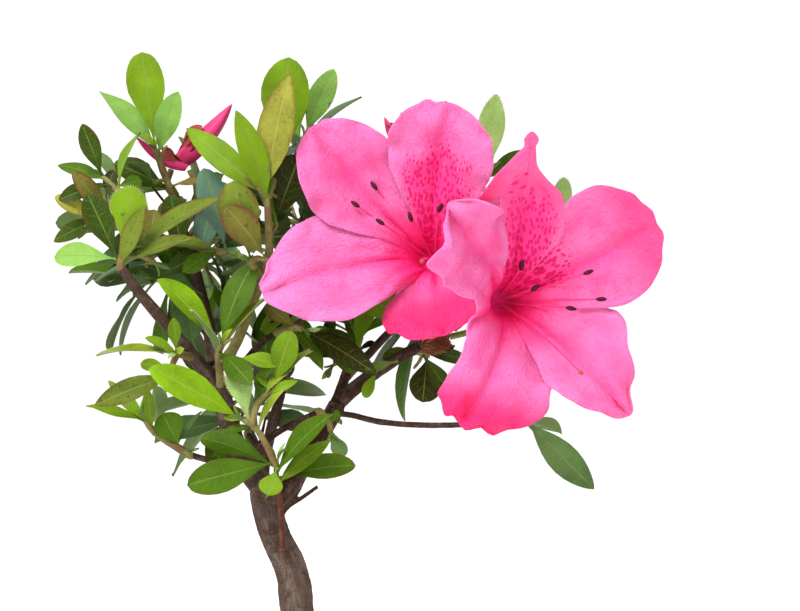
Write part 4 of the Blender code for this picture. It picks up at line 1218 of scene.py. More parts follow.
# A blade narrower than this counts as slender, which evens its outline and blunts its tip less
SLENDER = 0.40
SLENDER_OVER = 0.10
SLENDER_BULGE = 0.55
SLENDER_TIP = 0.28

# A blade's section, in millimetres and shares
ROW_CROWDING = 0.10
STALK_TIP = 0.06
RIM_THIN = 0.65
RIB_HALF = 0.1          # the share of the half width that the midrib takes
RIB_SUNK = 0.06
RIB_KEEL = 0.22
STALK_DEEP = 0.6

# The three unopened leaves at a shoot's tip, in millimetres
HEART_TWIG = 0.6        # thinner twigs have none
HEART_CLEAR = 6
HEART_LENGTHS = (3.2, 5.6)
HEART_WIDTHS = (0.26, 0.36)
HEART_SUNK = 0.4

# How brown the specks and the rusty margin of each colour are, and how pale its veins
SPECKS = {"speckled": 0.5, "olive": 0.3, "full": 0.12, "tinged": 0.5}
MARGINS = {"speckled": 0.65, "tinged": 1.0, "olive": 0.5, "dark": 0.35, "full": 0.25}
VEINED = {"dark": 0.20, "darkest": 0.24, "full": 0.20, "pale": 0.3, "grey": 0.3}
PLAIN_VEINED = 0.18

TINTS = {"b": "bright", "f": "fresh", "h": "fresh", "m": "full", "d": "dark", "k": "darkest",
         "o": "olive", "s": "speckled", "t": "tinged", "u": "blue", "c": "cool", "g": "grey",
         "y": "yellow", "p": "pale"}


def blade_outline(t, wide, base, tip):
    """Half the blade's width at a share of its length, as a share of its greatest half width."""
    if not PETIOLE_END < t < 1:
        return 0.0
    u = ((t - PETIOLE_END) / (1 - PETIOLE_END)) ** wide
    return math.sin(math.pi * u) ** (base if u < 0.5 else tip)


def leaf_blade(shell, leaf, rng, settings):
    """A closed blade with a keel, folded at its midrib, arched, and a little waved and twisted."""
    normal = (leaf.face - leaf.way * leaf.face.dot(leaf.way)).normalized()
    length, half = leaf.length, leaf.width / 2
    slender = ease((SLENDER - leaf.width / length) / SLENDER_OVER)
    wide = rng.uniform(*BULGE) - SLENDER_BULGE * slender
    base_blunt = rng.uniform(*BASE_BLUNT)
    tip_blunt = rng.uniform(*TIP_BLUNT) + SLENDER_TIP * slender
    droop = rng.uniform(*DROOP)
    sway = rng.uniform(*SWAY)
    twist = math.radians(rng.uniform(-TWIST, TWIST))
    fold = settings.fold * rng.uniform(*FOLD_SHARE)
    curl = rng.uniform(*CURL)
    waves = rng.uniform(*WAVES) * length
    beat = rng.uniform(0, 6.28)
    shade = rng.uniform(0, 1)
    thick = settings.thickness / MM
    rows = []
    for i in range(LEAF_ROWS + 1):
        t = i / LEAF_ROWS
        t -= ROW_CROWDING * math.sin(2 * math.pi * t)
        reach = half * blade_outline(t, wide, base_blunt, tip_blunt)
        stalk = PETIOLE_HALF * (1 - ease(t / 0.2)) + STALK_TIP
        reach = max(reach, stalk)
        angle = twist * t
        side = leaf.way.cross(normal)
        across = side * math.cos(angle) + normal * math.sin(angle)
        up = normal * math.cos(angle) - side * math.sin(angle)
        rise = length * (4 * LEAF_ARCH * t * (1 - t) - droop * t ** 3)
        centre = leaf.root + leaf.way * length * t + normal * rise + side * sway * length * t * t
        top, low = [], []
        for v in LEAF_COLUMNS:
            x = abs(v) * reach
            lift = x * math.tan(fold) - curl * x * abs(v) ** 2
            swing = math.sin(WAVE_BEAT * t + beat + (2 if v > 0 else 0))
            lift += waves * WAVE_SHARE * abs(v) ** 2 * swing
            spot = centre + across * v * reach + up * lift
            inner = abs(v) < RIB_HALF
            groove = RIB_SUNK if inner else 0.0
            body = thick * (1 - RIM_THIN * abs(v)) / 2
            keel = body + (RIB_KEEL if inner else 0.0)
            keel += stalk * STALK_DEEP * (1 - ease(t / 0.25))
            rim = abs(v) == 1
            top.append(shell.spot(spot + up * (0 if rim else body - groove), shade=shade))
            low.append(top[-1] if rim else shell.spot(spot - up * keel, shade=shade))
        rows.append((top, low, t, reach))
    last = len(LEAF_COLUMNS) - 1
    for (near, near_low, t0, w0), (far, far_low, t1, w1) in zip(rows, rows[1:]):
        for j in range(last):
            a, b = LEAF_COLUMNS[j], LEAF_COLUMNS[j + 1]
            rib = j == last // 2
            y0, y1 = t0 * length / UNIT, t1 * length / UNIT
            size = [(a * w0 / UNIT, y0), (b * w0 / UNIT, y0),
                    (b * w1 / UNIT, y1), (a * w1 / UNIT, y1)]
            share = [(a, t0), (b, t0), (b, t1), (a, t1)]
            shell.face((near[j], near[j + 1], far[j + 1], far[j]), 2 if rib else 0,
                       size=size, share=share)
            shell.face((near_low[j + 1], near_low[j], far_low[j], far_low[j + 1]),
                       2 if rib else 1, size=[size[1], size[0], size[3], size[2]],
                       share=[share[1], share[0], share[3], share[2]])
    for ring, low, turn in ((rows[0][0], rows[0][1], 1), (rows[-1][0], rows[-1][1], -1)):
        loop = ring + low[-2:0:-1]
        shell.face(loop[::-1] if turn == 1 else loop, 2)
    return rows


def fringe(shell, rows, leaf, rng, kind):
    """Fine pale hairs along a young leaf's edge, slanted to its tip."""
    for column in (0, -1):
        edge = [shell.spots[top[column]] for top, low, t, reach in rows]
        inner = [shell.spots[top[1 if column == 0 else -2]] for top, low, t, reach in rows]
        for i in range(2, len(edge) - 1):
            for k in range(FRINGE):
                share = (k + rng.random()) / FRINGE
                root = edge[i].lerp(edge[i + 1], share)
                out = (root - inner[i].lerp(inner[i + 1], share)).normalized()
                lie = out + leaf.way * rng.uniform(*FRINGE_SLANT)
                hair(shell, root - out * FRINGE_SUNK, root + lie * rng.uniform(*FRINGE_LENGTHS), kind)


def leaf_material(name, settings):
    """The cuticle of an azalea leaf: thin, leathery, softly glossy, with sunk paler side veins."""
    colour, vein = getattr(settings, name), settings.midrib
    specks, margin = SPECKS.get(name), MARGINS.get(name)
    veined = VEINED.get(name, PLAIN_VEINED)
    made, tree, shader = new_material(f"{name}_leaf_cuticle", 0.40, Specular_IOR_Level=0.06)
    size = add(tree, "ShaderNodeUVMap", uv_map="size")
    share = add(tree, "ShaderNodeUVMap", uv_map="share")
    place = add(tree, "ShaderNodeSeparateXYZ", {0: size}).node
    parts = add(tree, "ShaderNodeSeparateXYZ", {0: share}).node
    across = add(tree, "ShaderNodeMath", {0: place.outputs[0]}, operation="ABSOLUTE")
    edge = add(tree, "ShaderNodeMath", {0: parts.outputs[0]}, operation="ABSOLUTE")
    # side veins leave the midrib at 45 degrees and bow toward the tip
    bowed = add(tree, "ShaderNodeMath", {0: across, 1: -0.9, 2: -0.75}, operation="MULTIPLY_ADD")
    swept = add(tree, "ShaderNodeMath", {0: across, 1: bowed, 2: place.outputs[1]},
                operation="MULTIPLY_ADD")
    wander = add(tree, "ShaderNodeTexNoise", {"Vector": size, "Scale": 4, "Detail": 2})
    swept = add(tree, "ShaderNodeMath", {0: wander, 1: 0.34, 2: swept}, operation="MULTIPLY_ADD")
    spacing = settings.vein_spacing / (UNIT * MM)
    beat = add(tree, "ShaderNodeMath", {0: swept, 1: spacing / 2}, operation="PINGPONG")
    veins = add(tree, "ShaderNodeMapRange", {0: beat, 1: 0.0, 2: 0.024, 3: 1.0, 4: 0.0}, **SMOOTH)
    # the net between the side veins has meshes of 0.8 mm
    net = add(tree, "ShaderNodeTexVoronoi", {"Vector": size, "Scale": 12.0},
              feature="DISTANCE_TO_EDGE", voronoi_dimensions="2D", out="Distance")
    mesh = add(tree, "ShaderNodeMapRange", {0: net, 1: 0.0, 2: 0.16, 3: 0.45, 4: 0.0}, **SMOOTH)
    veins = add(tree, "ShaderNodeMath", {0: veins, 1: mesh}, operation="MAXIMUM")
    fade = add(tree, "ShaderNodeMapRange", {0: edge, 1: 0.45, 2: 0.95, 3: veined, 4: veined * 0.25})
    faint = add(tree, "ShaderNodeMath", {0: veins, 1: fade}, operation="MULTIPLY")
    solid = add(tree, "ShaderNodeTexCoord", out="Object")
    # cells of the blade, 0.6 mm, and broad changes of tone over 6 mm
    cells = add(tree, "ShaderNodeTexNoise", {"Vector": solid, "Scale": 1600, "Detail": 3})
    tone = add(tree, "ShaderNodeTexNoise", {"Vector": solid, "Scale": 160, "Detail": 2})
    shade = add(tree, "ShaderNodeAttribute", attribute_name="shade", out="Fac")
    tone = add(tree, "ShaderNodeMath", {0: shade, 1: 0.45, 2: tone}, operation="MULTIPLY_ADD")
    light = add(tree, "ShaderNodeMapRange", {0: tone, 1: 0.42, 2: 1.02})
    fine = add(tree, "ShaderNodeMapRange", {0: cells, 1: 0.4, 2: 0.7, 3: 0.0, 4: 0.22})
    coats = [(light, rgba(colour, 1.30)), (fine, rgba(colour, 1.5)), (faint, rgba(vein))]
    if specks:
        # brown specks 1 mm wide
        blots = add(tree, "ShaderNodeTexNoise", {"Vector": solid, "Scale": 900, "Detail": 2})
        brown = add(tree, "ShaderNodeMapRange", {0: blots, 1: 0.62, 2: 0.70, 3: 0.0, 4: specks})
        coats.append((brown, rgba(linear("#4a2c12"))))
    if margin:
        # a rusty rim, widest at the tip and ragged every 3 mm
        ragged = add(tree, "ShaderNodeTexNoise", {"Vector": solid, "Scale": 300, "Detail": 3})
        reach = add(tree, "ShaderNodeMath", {0: parts.outputs[1], 1: 0.45, 2: edge},
                    operation="MULTIPLY_ADD")
        reach = add(tree, "ShaderNodeMath", {0: ragged, 1: 0.5, 2: reach}, operation="MULTIPLY_ADD")
        rust = add(tree, "ShaderNodeMapRange", {0: reach, 1: 1.2, 2: 1.62, 3: 0.0, 4: margin}, **SMOOTH)
        coats.append((rust, rgba(linear("#7a4630"))))
    skin = rgba(colour, 0.66)
    for mask, coat in coats:
        skin = add(tree, "ShaderNodeMix", {0: mask, 6: skin, 7: coat}, data_type="RGBA", out=2)
    tree.links.new(skin, shader.inputs["Base Color"])
    height = add(tree, "ShaderNodeMath", {0: veins, 1: -0.6, 2: cells}, operation="MULTIPLY_ADD")
    bump = add(tree, "ShaderNodeBump", {"Height": height, "Strength": 0.6, "Distance": 0.00013})
    tree.links.new(bump, shader.inputs["Normal"])
    return made


def underside_material(colour):
    """A leaf's matt underside, paler and greyer than its top."""
    made, tree, shader = new_material("leaf_underside", 0.62, Specular_IOR_Level=0.15)
    solid = add(tree, "ShaderNodeTexCoord", out="Object")
    tone = add(tree, "ShaderNodeTexNoise", {"Vector": solid, "Scale": 400, "Detail": 3})
    skin = add(tree, "ShaderNodeMix", {0: tone, 6: rgba(colour, 0.7), 7: rgba(colour, 1.25)},
               data_type="RGBA", out=2)
    tree.links.new(skin, shader.inputs["Base Color"])
    return made


def midrib_material(name, colour, rib):
    """A midrib and leaf stalk: firm and smooth, a little paler than its blade."""
    made, tree, shader = new_material(f"{name}_midrib", 0.5, Specular_IOR_Level=0.17)
    solid = add(tree, "ShaderNodeTexCoord", out="Object")
    tone = add(tree, "ShaderNodeTexNoise", {"Vector": solid, "Scale": 300, "Detail": 2})
    mixed = [0.62 * own + 0.38 * pale for own, pale in zip(colour, rib)]
    skin = add(tree, "ShaderNodeMix", {0: tone, 6: rgba(mixed, 0.75), 7: rgba(mixed, 1.2)},
               data_type="RGBA", out=2)
    tree.links.new(skin, shader.inputs["Base Color"])
    return made


def heart_leaves(twigs, rng):
    """Three small unopened leaves at the tip of each shoot that is clear of the petals."""
    more = []
    blooms = node_tree_mm(*BLOOMS)
    for twig in twigs:
        if twig.thick < HEART_TWIG or away(blooms, twig.path[-1]) < HEART_CLEAR:
            continue
        tip, way = twig.path[-1], (twig.path[-1] - twig.path[-2]).normalized()
        side = way.orthogonal().normalized()
        for i in range(3):
            turn = Matrix.Rotation(math.radians(GOLDEN * i + rng.uniform(-20, 20)), 3, way)
            out = (way * 1.6 + turn @ side * rng.uniform(0.5, 1.1)).normalized()
            length = rng.uniform(*HEART_LENGTHS)
            more.append(Leaf(tip - way * HEART_SUNK, out, -(turn @ side), length,
                             length * rng.uniform(*HEART_WIDTHS), "y" if i else "p", twig.node))
    return more


def make_leaves(twigs, leaves, settings):
    """One piece for each colour of leaf, dealt out by the shoots."""
    rng = random.Random("blades")
    leaves = leaves + heart_leaves(twigs, rng)
    shells, nodes = {}, {}
    for leaf in leaves:
        name = TINTS[leaf.tint]
        shell = shells.setdefault(name, Shell())
        nodes.setdefault(name, set()).add(leaf.node)
        rows = leaf_blade(shell, leaf, rng, settings)
        if leaf.tint in FRINGED and leaf.length > FRINGED_FROM:
            fringe(shell, rows, leaf, rng, 3)
    under = underside_material(settings.underside)
    hairs_skin = plain_tissue("leaf_edge_hair", bpy.context.scene.azalea_bark.hair, 0.6, 500, 1.4)
    for name, shell in shells.items():
        rib = midrib_material(name, getattr(settings, name), settings.midrib)
        top = leaf_material(name, settings)
        piece = shell.piece(f"foliage_{name}", [top, under, rib, hairs_skin])
        settle(piece, sorted(nodes[name]))


# Blooms

# A petal's outline: shares of its length, of its width, and powers
WIDTH_POWER = 7         # how sharply the neighbour's limit gives way to the petal's own width
FULL_WIDTH = 1.04
TIP_POWER = 2.2
NOTCH_OVER = 0.12       # the share of the length over which the petals part
PINCH_FROM = 0.70
PINCH_OVER = 0.17
KNOB_FROM = 0.93
KNOB_OVER = 0.04
KNOB_SHARE = 0.55
CUT_FROM = 0.40
CUT_OVER = 0.12
CUT_TO = 0.8

# A petal's relief: heights in millimetres, and places as shares
GROOVE_DEPTH = 0.75
GROOVE_HALF = 0.13
SWELL = 0.9
PUCKER = 1.0
PUCKER_SIZE = (7, 9)    # millimetres across and along
CREASE = 0.32
CREASE_SIZE = (2.1, 4.5)
RIB_HEIGHT = 0.26
RIB_BEAT = 11
LAP = 0.9
RUFFLES = ((15, 1), (29, 0.6), (53, 0.35))     # beats along the edge, and their heights
TIP_RUFFLE = 1.3
CALM = 0.92             # how much of the relief a pinched petal's neck loses

# The petals' edges: how ragged they are, and how a lobe stands off
NICK = 0.06
JAG = 1.5
LOBE_BACK = 2.0
LOBE_RISE = 3.5
EAR_LEAN = 0.55
EAR_POINT = 1.1
SKEW_FROM = 0.3
FLATTEST = 0.06         # keeps a petal's crosswise bend round where it lies flat
FLOOR_DEPTH = 0.3
HEAL = 4                # rows over which two petals draw apart beyond their notch


def petal_rows(petal):
    """Place along the petal, radius, height and outward angle, from the throat to the tip."""
    radius, height = TUBE_RADIUS, 0.0
    rows = []
    for t, onward in zip(PETAL_MARKS, [*PETAL_MARKS[1:], 1]):
        opened = ease((t - OPENING[0]) / (OPENING[1] - OPENING[0]))
        curled = ease((t - CURL_FROM) / (1 - CURL_FROM))
        angle = math.radians(TUBE_ANGLE + (petal.flare - TUBE_ANGLE) * opened
                             + petal.recurve * curled)
        rows.append((t, radius, height, angle))
        radius += math.sin(angle) * petal.length * (onward - t)
        height += math.cos(angle) * petal.length * (onward - t)
    return rows


def half_width(petal, t, radius, gap, side):
    """Half the petal's width: its neighbour limits it low down, its own outline higher up."""
    over = OVERLAP + (petal.over if side > 0 else 0)
    parted = ease((t - NOTCH + 0.05) / NOTCH_OVER)
    shared = radius * math.radians(gap / 2) * (1 + over * parted)
    wide = shared ** -WIDTH_POWER + (petal.width / 2) ** -WIDTH_POWER
    wide = FULL_WIDTH * wide ** (-1 / WIDTH_POWER)
    if t > petal.peak:
        q = (t - petal.peak) / (1 - petal.peak)
        wide *= (1 - petal.point) * math.sqrt(max(0.0, 1 - q ** TIP_POWER)) + petal.point * (1 - q)
    wide *= 1 + side * petal.lop * ease((t - NOTCH) / NOTCH_OVER)
    knob = 1 - KNOB_SHARE * ease((t - KNOB_FROM) / KNOB_OVER)
    wide *= 1 - petal.pinch * ease((t - PINCH_FROM) / PINCH_OVER) * knob
    if side < 0:
        wide *= 1 - petal.cut * ease((t - CUT_FROM) / CUT_OVER) * (1 - ease((t - CUT_TO) / 0.1))
    return wide


def bloom_frame(bloom):
    axis = Vector(bloom.axis).normalized()
    up = (UP - axis * UP.dot(axis)).normalized()
    return axis, up, up.cross(axis)


def around_axis(up, right, clock):
    c = math.radians(clock)
    return up * math.cos(c) + right * math.sin(c), right * math.cos(c) - up * math.sin(c)


def petal_relief(petal, k, t, v, x, seed, ruffle, turn):
    """Height of the petal's surface toward the viewer: groove, quilting, ruffled edge, overlap."""
    along = t * petal.length
    body = ease((t - 0.22) / 0.2) * (1 - 0.5 * ease((t - 0.85) / 0.15))
    groove = -GROOVE_DEPTH * math.exp(-(v / GROOVE_HALF) ** 2) * body
    swell = SWELL * math.sin(math.pi * min(1, abs(v) * 1.05)) * body
    edge = ease((abs(v) - 0.5) / 0.5) * ease((t - 0.50) / 0.25)
    phase = seed + k * 1.7 + (1.9 if v > 0 else 0)
    wave = ruffle * edge * sum(height * math.sin(beat * t + (i + 1) * phase)
                               for i, (beat, height) in enumerate(RUFFLES))
    tip = ruffle * ease((t - 0.80) / 0.2) * math.sin(5 * v + phase) * TIP_RUFFLE
    wide, tall = PUCKER_SIZE
    pucker = PUCKER * body * noise.noise(Vector((x / wide, along / tall, seed + 5 * k)))
    wide, tall = CREASE_SIZE
    crease = CREASE * body * noise.noise(Vector((x / wide, along / tall, seed + 9 * k)))
    drift = 3 * noise.noise(Vector((v, along / 12, k)))
    ribs = RIB_HEIGHT * body * math.sin(RIB_BEAT * v + drift) * (1.1 - t)
    lap = LAP * turn * v * ease((t - NOTCH) / 0.10)
    bent = t + 0.06 * v + 0.03 * math.sin(4 * v)
    step = petal.fold * ease((bent - 0.30) / 0.25) * (1 - ease((bent - 0.56) / 0.07))
    step *= ease((0.75 - v) / 0.6)
    level = 1 - ease((t - KNOB_FROM) / 0.07)
    if petal.pinch:
        level *= 1 - CALM * ease((t - 0.50) / 0.25)
    return level * (groove + swell + wave + tip + pucker + crease + ribs + lap + step)


def eared(petal, v, wide, t):
    """A side lobe on a petal's left margin: place across, share out along the lobe."""
    if not petal.ear or v >= 0 or not EAR[0] < t < EAR[1]:
        return v * wide, 0.0
    rise = ((t - EAR[0]) / (EAR[1] - EAR[0])) ** EAR_LEAN
    reach = petal.ear * math.sin(math.pi * rise) ** EAR_POINT
    share = ease(-v) * reach / petal.ear
    return v * wide - reach * ease(-v), share


def corolla(bloom, seed, settings):
    """Five petals as one sheet, joined side by side up to the notches and free beyond them."""
    axis, up, right = bloom_frame(bloom)
    base = Vector(bloom.base)
    count = len(bloom.petals)
    grid, joined = [], []
    for k, petal in enumerate(bloom.petals):
        ruffle = settings.ruffle / MM * petal.ruffle
        after = bloom.petals[(k + 1) % count]
        before = bloom.petals[k - 1]
        gaps = ((petal.clock - before.clock) % 360, (after.clock - petal.clock) % 360)
        out, across = around_axis(up, right, petal.clock)
        rows = []
        for t, radius, height, angle in petal_rows(petal):
            centre = base + axis * height + out * radius
            centre += across * petal.skew * max(0, t - SKEW_FROM) ** 2 * 2
            inward = axis * math.sin(angle) - out * math.cos(angle)
            onward = axis * math.cos(angle) + out * math.sin(angle)
            bend = radius / max(FLATTEST, math.cos(angle))
            row = []
            for j in range(PETAL_COLUMNS + 1):
                v = 2 * j / PETAL_COLUMNS - 1
                wide = half_width(petal, t, radius, gaps[v > 0], 1 if v > 0 else -1)
                nick = noise.noise(Vector((t * 9, k * 3 + (5 if v > 0 else 0), seed)))
                wide *= 1 + NICK * petal.ruffle * nick * ease((t - 0.5) / 0.2)
                x, lobe = eared(petal, v, wide, t)
                spot = centre + across * bend * math.sin(x / bend)
                spot += inward * bend * (1 - math.cos(x / bend))
                facing = inward * math.cos(x / bend) - across * math.sin(x / bend)
                lift = petal_relief(petal, k, t, v, x, seed, ruffle, bloom.turn)
                jag = noise.noise(Vector((x * 0.28, k * 4 + 2, seed))) * petal.ruffle
                spot += onward * (JAG * jag * ease((t - 0.7) / 0.3) - LOBE_BACK * lobe ** 1.5)
                row.append((spot + facing * (lift + LOBE_RISE * lobe), v * wide, lobe))
            rows.append((t, row))
        grid.append(rows)
        joined.append(sum(mark < NOTCH for mark in PETAL_MARKS))
    return grid, joined, base - axis * FLOOR_DEPTH


def petal_shell(bloom, seed, settings):
    grid, joined, floor_spot = corolla(bloom, seed, settings)
    count = len(bloom.petals)
    shell = Shell()
    index = [[[None] * (PETAL_COLUMNS + 1) for i in range(PETAL_ROWS + 1)] for k in range(count)]
    for k in range(count):
        n = (k + 1) % count
        for i in range(PETAL_ROWS + 1):
            t, row = grid[k][i]
            for j in range(PETAL_COLUMNS + 1):
                if j == 0 and i <= joined[k - 1]:
                    continue
                spot = row[j][0]
                if j == PETAL_COLUMNS and i <= joined[k]:
                    spot = (spot + grid[n][i][1][0][0]) / 2
                elif j == PETAL_COLUMNS and i <= joined[k] + HEAL:
                    other = (spot + grid[n][i][1][0][0]) / 2
                    spot = other.lerp(spot, (i - joined[k]) / (HEAL + 1))
                elif j == 0 and i <= joined[k - 1] + HEAL:
                    other = (spot + grid[k - 1][i][1][PETAL_COLUMNS][0]) / 2
                    spot = other.lerp(spot, (i - joined[k - 1]) / (HEAL + 1))
                v = 2 * j / PETAL_COLUMNS - 1
                petal = bloom.petals[k]
                across = 1 - ease((abs(v) - 0.55) / 0.40)
                blotch = petal.blotch * across * ease((t - 0.16) / 0.12)
                ragged = noise.noise(Vector((v * 5, t * 9, seed + 2 * k)))
                blotch *= 1 - ease((t - 0.65 + 0.24 * v * v - 0.12 * ragged) / 0.18)
                if petal.blotch < 1:
                    blotch *= ease((0.35 - v) / 0.5) * (1 - ease((t - 0.42) / 0.16))
                rim = max(ease((abs(v) - 0.6) / 0.4), ease((t - 0.75) / 0.25))
                line = math.exp(-(v / 0.16) ** 2) * (1 - 0.6 * ease((t - 0.3) / 0.6))
                if petal.pinch:
                    line *= 1 - ease((t - 0.5) / 0.2)
                # The stain share deepens a petal toward the flush pink over its whole length, along the
                # ear's lobe and toward a tipped petal's end. This is partly the petals' own flush and
                # partly painted shade where petals lie in shade. A negative stain is painted light
                # instead, and makes the petal paler.
                flush = petal.stain * ease((t - 0.35) / 0.4)
                stain = max(flush, row[j][2], petal.tipped * ease((t - 0.66) / 0.26))
                index[k][i][j] = shell.spot(spot, throat=1 - ease((t - 0.08) / 0.56), line=line,
                                            blotch=blotch, rim=rim * ease((t - 0.3) / 0.2),
                                            stain=stain, pale=max(0.0, -flush))
    for k in range(count):
        for i in range(joined[k - 1] + 1):
            index[k][i][0] = index[k - 1][i][PETAL_COLUMNS]
    foot = shell.spot(floor_spot, throat=1.0)
    for k in range(count):
        length = bloom.petals[k].length
        for j in range(PETAL_COLUMNS):
            a, b = index[k][0][j], index[k][0][j + 1]
            shell.face((foot, b, a), 0, size=[(k, 0), (k, 0), (k, 0)])
            for i in range(PETAL_ROWS):
                near, far = index[k][i], index[k][i + 1]
                place = []
                for row, column in ((i, j), (i, j + 1), (i + 1, j + 1), (i + 1, j)):
                    t, line = grid[k][row]
                    place.append((line[column][1] / UNIT + 7 * k, t * length / UNIT))
                shell.face((near[j], near[j + 1], far[j + 1], far[j]), 0, size=place)
    return shell


def petal_material(settings):
    """Azalea petal: thin, moist tissue, satin, paler to its edge, with fine veins and a blotch
    of spots that run together toward the throat."""
    made, tree, shader = new_material("petal_tissue", 0.5, Specular_IOR_Level=0.14,
                                      Subsurface_Weight=0.35, Subsurface_Scale=0.0016,
                                      Subsurface_Radius=(1.0, 0.25, 0.45))
    own, light = rgba(settings.petal, 1.3), rgba(settings.light, 1.3)
    dark, spot = rgba(settings.deep, 1.5), rgba(settings.spot, 1.65)
    flush = rgba(settings.flush, 1.5)
    size = add(tree, "ShaderNodeUVMap", uv_map="size")
    throat, blotch, rim, line, stain, pale = [
        add(tree, "ShaderNodeAttribute", attribute_name=name, out="Fac")
        for name in ("throat", "blotch", "rim", "line", "stain", "pale")]
    solid = add(tree, "ShaderNodeTexCoord", out="Object")
    # soft clouds 7 mm wide
    broad = add(tree, "ShaderNodeTexNoise", {"Vector": solid, "Scale": 150, "Detail": 4})
    paler = add(tree, "ShaderNodeMapRange", {0: broad, 1: 0.30, 2: 0.66, 3: 0.1, 4: 0.7}, **SMOOTH)
    edge = add(tree, "ShaderNodeMath", {0: rim, 1: 0.7, 2: pale}, operation="MULTIPLY_ADD",
               use_clamp=True)
    # veins 0.4 mm apart that run out along the petal
    drawn = add(tree, "ShaderNodeMapping", {"Vector": size, "Scale": (1, 0.16, 1)})
    lines = add(tree, "ShaderNodeTexNoise",
                {"Vector": drawn, "Scale": 26, "Detail": 3, "Distortion": 0.5})
    veins = add(tree, "ShaderNodeMapRange", {0: lines, 1: 0.50, 2: 0.68, 3: 0.0, 4: 0.16}, **SMOOTH)
    middle = add(tree, "ShaderNodeMath", {0: line, 1: 0.62}, operation="MULTIPLY")
    under = add(tree, "ShaderNodeMath", {0: blotch, 1: 0.75}, operation="MULTIPLY")
    # the throat's red runs out along the veins
    spread = add(tree, "ShaderNodeMath", {0: lines, 1: 0.55, 2: throat}, operation="MULTIPLY_ADD")
    deep = add(tree, "ShaderNodeMapRange", {0: spread, 1: 0.36, 2: 1.16}, **SMOOTH)
    # spots 1 mm apart and twice as long, which grow and meet as the blotch deepens
    spacing = settings.spot_spacing / (UNIT * MM)
    bent = add(tree, "ShaderNodeTexNoise", {"Vector": size, "Scale": 5, "Detail": 1},
               normalize=True, out="Color")
    bent = add(tree, "ShaderNodeVectorMath", {0: bent, 1: (0.05, 0.05, 0)}, operation="MULTIPLY")
    bent = add(tree, "ShaderNodeVectorMath", {0: bent, 1: size}, operation="ADD")
    cells = add(tree, "ShaderNodeMapping", {"Vector": bent, "Scale": (1 / spacing, 0.5 / spacing, 1)})
    spots = add(tree, "ShaderNodeTexVoronoi", {"Vector": cells, "Scale": 1.0, "Randomness": 0.85},
                voronoi_dimensions="2D", out="Distance")
    limit = add(tree, "ShaderNodeMath", {0: throat, 1: 0.40, 2: 0.18}, operation="MULTIPLY_ADD")
    limit = add(tree, "ShaderNodeMath", {0: blotch, 1: 0.12, 2: limit}, operation="MULTIPLY_ADD")
    inside = add(tree, "ShaderNodeMath", {0: limit, 1: spots}, operation="SUBTRACT")
    spotted = add(tree, "ShaderNodeMapRange", {0: inside, 1: -0.07, 2: 0.08}, **SMOOTH)
    reach = add(tree, "ShaderNodeMapRange", {0: blotch, 1: 0.02, 2: 0.2})
    covered = add(tree, "ShaderNodeMath", {0: spotted, 1: reach}, operation="MULTIPLY")
    # The stain share mixes in the flush pink, which is partly painted shade. The pale share lightens
    # the petal toward the light pink as painted light.
    skin = own
    for mask, coat in ((paler, light), (edge, light), (veins, dark), (middle, dark), (stain, flush),
                       (under, dark), (deep, rgba(settings.throat, 1.8)), (covered, spot)):
        skin = add(tree, "ShaderNodeMix", {0: mask, 6: skin, 7: coat}, data_type="RGBA", out=2)
    tree.links.new(skin, shader.inputs["Base Color"])
    # crepe wrinkles 0.9 mm wide over the veins
    wrinkles = add(tree, "ShaderNodeTexNoise",
                   {"Vector": size, "Scale": 11, "Detail": 4, "Distortion": 1.0})
    height = add(tree, "ShaderNodeMath", {0: lines, 1: 0.8, 2: wrinkles}, operation="MULTIPLY_ADD")
    bump = add(tree, "ShaderNodeBump", {"Height": height, "Strength": 0.8, "Distance": 0.0008})
    tree.links.new(bump, shader.inputs["Normal"])
    return made


def plain_tissue(name, colour, roughness, grain, shade=1.0):
    """A small firm plant part of one colour, lighter and darker over its grain.
    A grain of 1000 is 1 mm wide."""
    made, tree, shader = new_material(name, roughness, Specular_IOR_Level=0.15)
    solid = add(tree, "ShaderNodeTexCoord", out="Object")
    tone = add(tree, "ShaderNodeTexNoise", {"Vector": solid, "Scale": grain, "Detail": 3})
    skin = add(tree, "ShaderNodeMix", {0: tone, 6: rgba(colour, 0.62 * shade),
                                       7: rgba(colour, 1.35 * shade)},
               data_type="RGBA", out=2)
    tree.links.new(skin, shader.inputs["Base Color"])
    bump = add(tree, "ShaderNodeBump", {"Height": tone, "Strength": 0.4, "Distance": 0.0001})
    tree.links.new(bump, shader.inputs["Normal"])
    return made


def thread_path(bloom, mark, pistil):
    """A stamen's or the pistil's thread, from the tube's foot to its tip."""
    axis, up, right = bloom_frame(bloom)
    base = Vector(bloom.base)
    clock, reach, height = mark
    out, across = around_axis(up, right, clock)
    seat = 0.1 if pistil else 1.2
    path = []
    for i in range(FILAMENT_ROWS + 1):
        s = i / FILAMENT_ROWS
        path.append(base + axis * (height * s - 0.5) + out * (seat + (reach - seat) * s ** 1.8))
    return path, axis, across


# The bloom's small parts, in millimetres
SAC_APART = 0.36
SAC_LENGTH = 2.4
SAC_RADII = (0.12, 0.42)
SAC_STEPS = 8
FILAMENT_RADII = (0.34, 0.14)   # at the foot, and how much is gone at the tip
PISTIL_RADII = (0.36, 0.08)
KNOB_LENGTH = 1.3
KNOB_STEPS = (0, 0.15, 0.4, 0.7, 0.9, 1)
KNOB_RADII = (0.28, 0.46, 0.60, 0.58, 0.42, 0.2)
STALK_RADIUS = 0.8
STALK_SWELLS = 1.3
CALYX_LOBES = 5
CALYX_LENGTH = 4.6
CALYX_WIDTH = 2.6


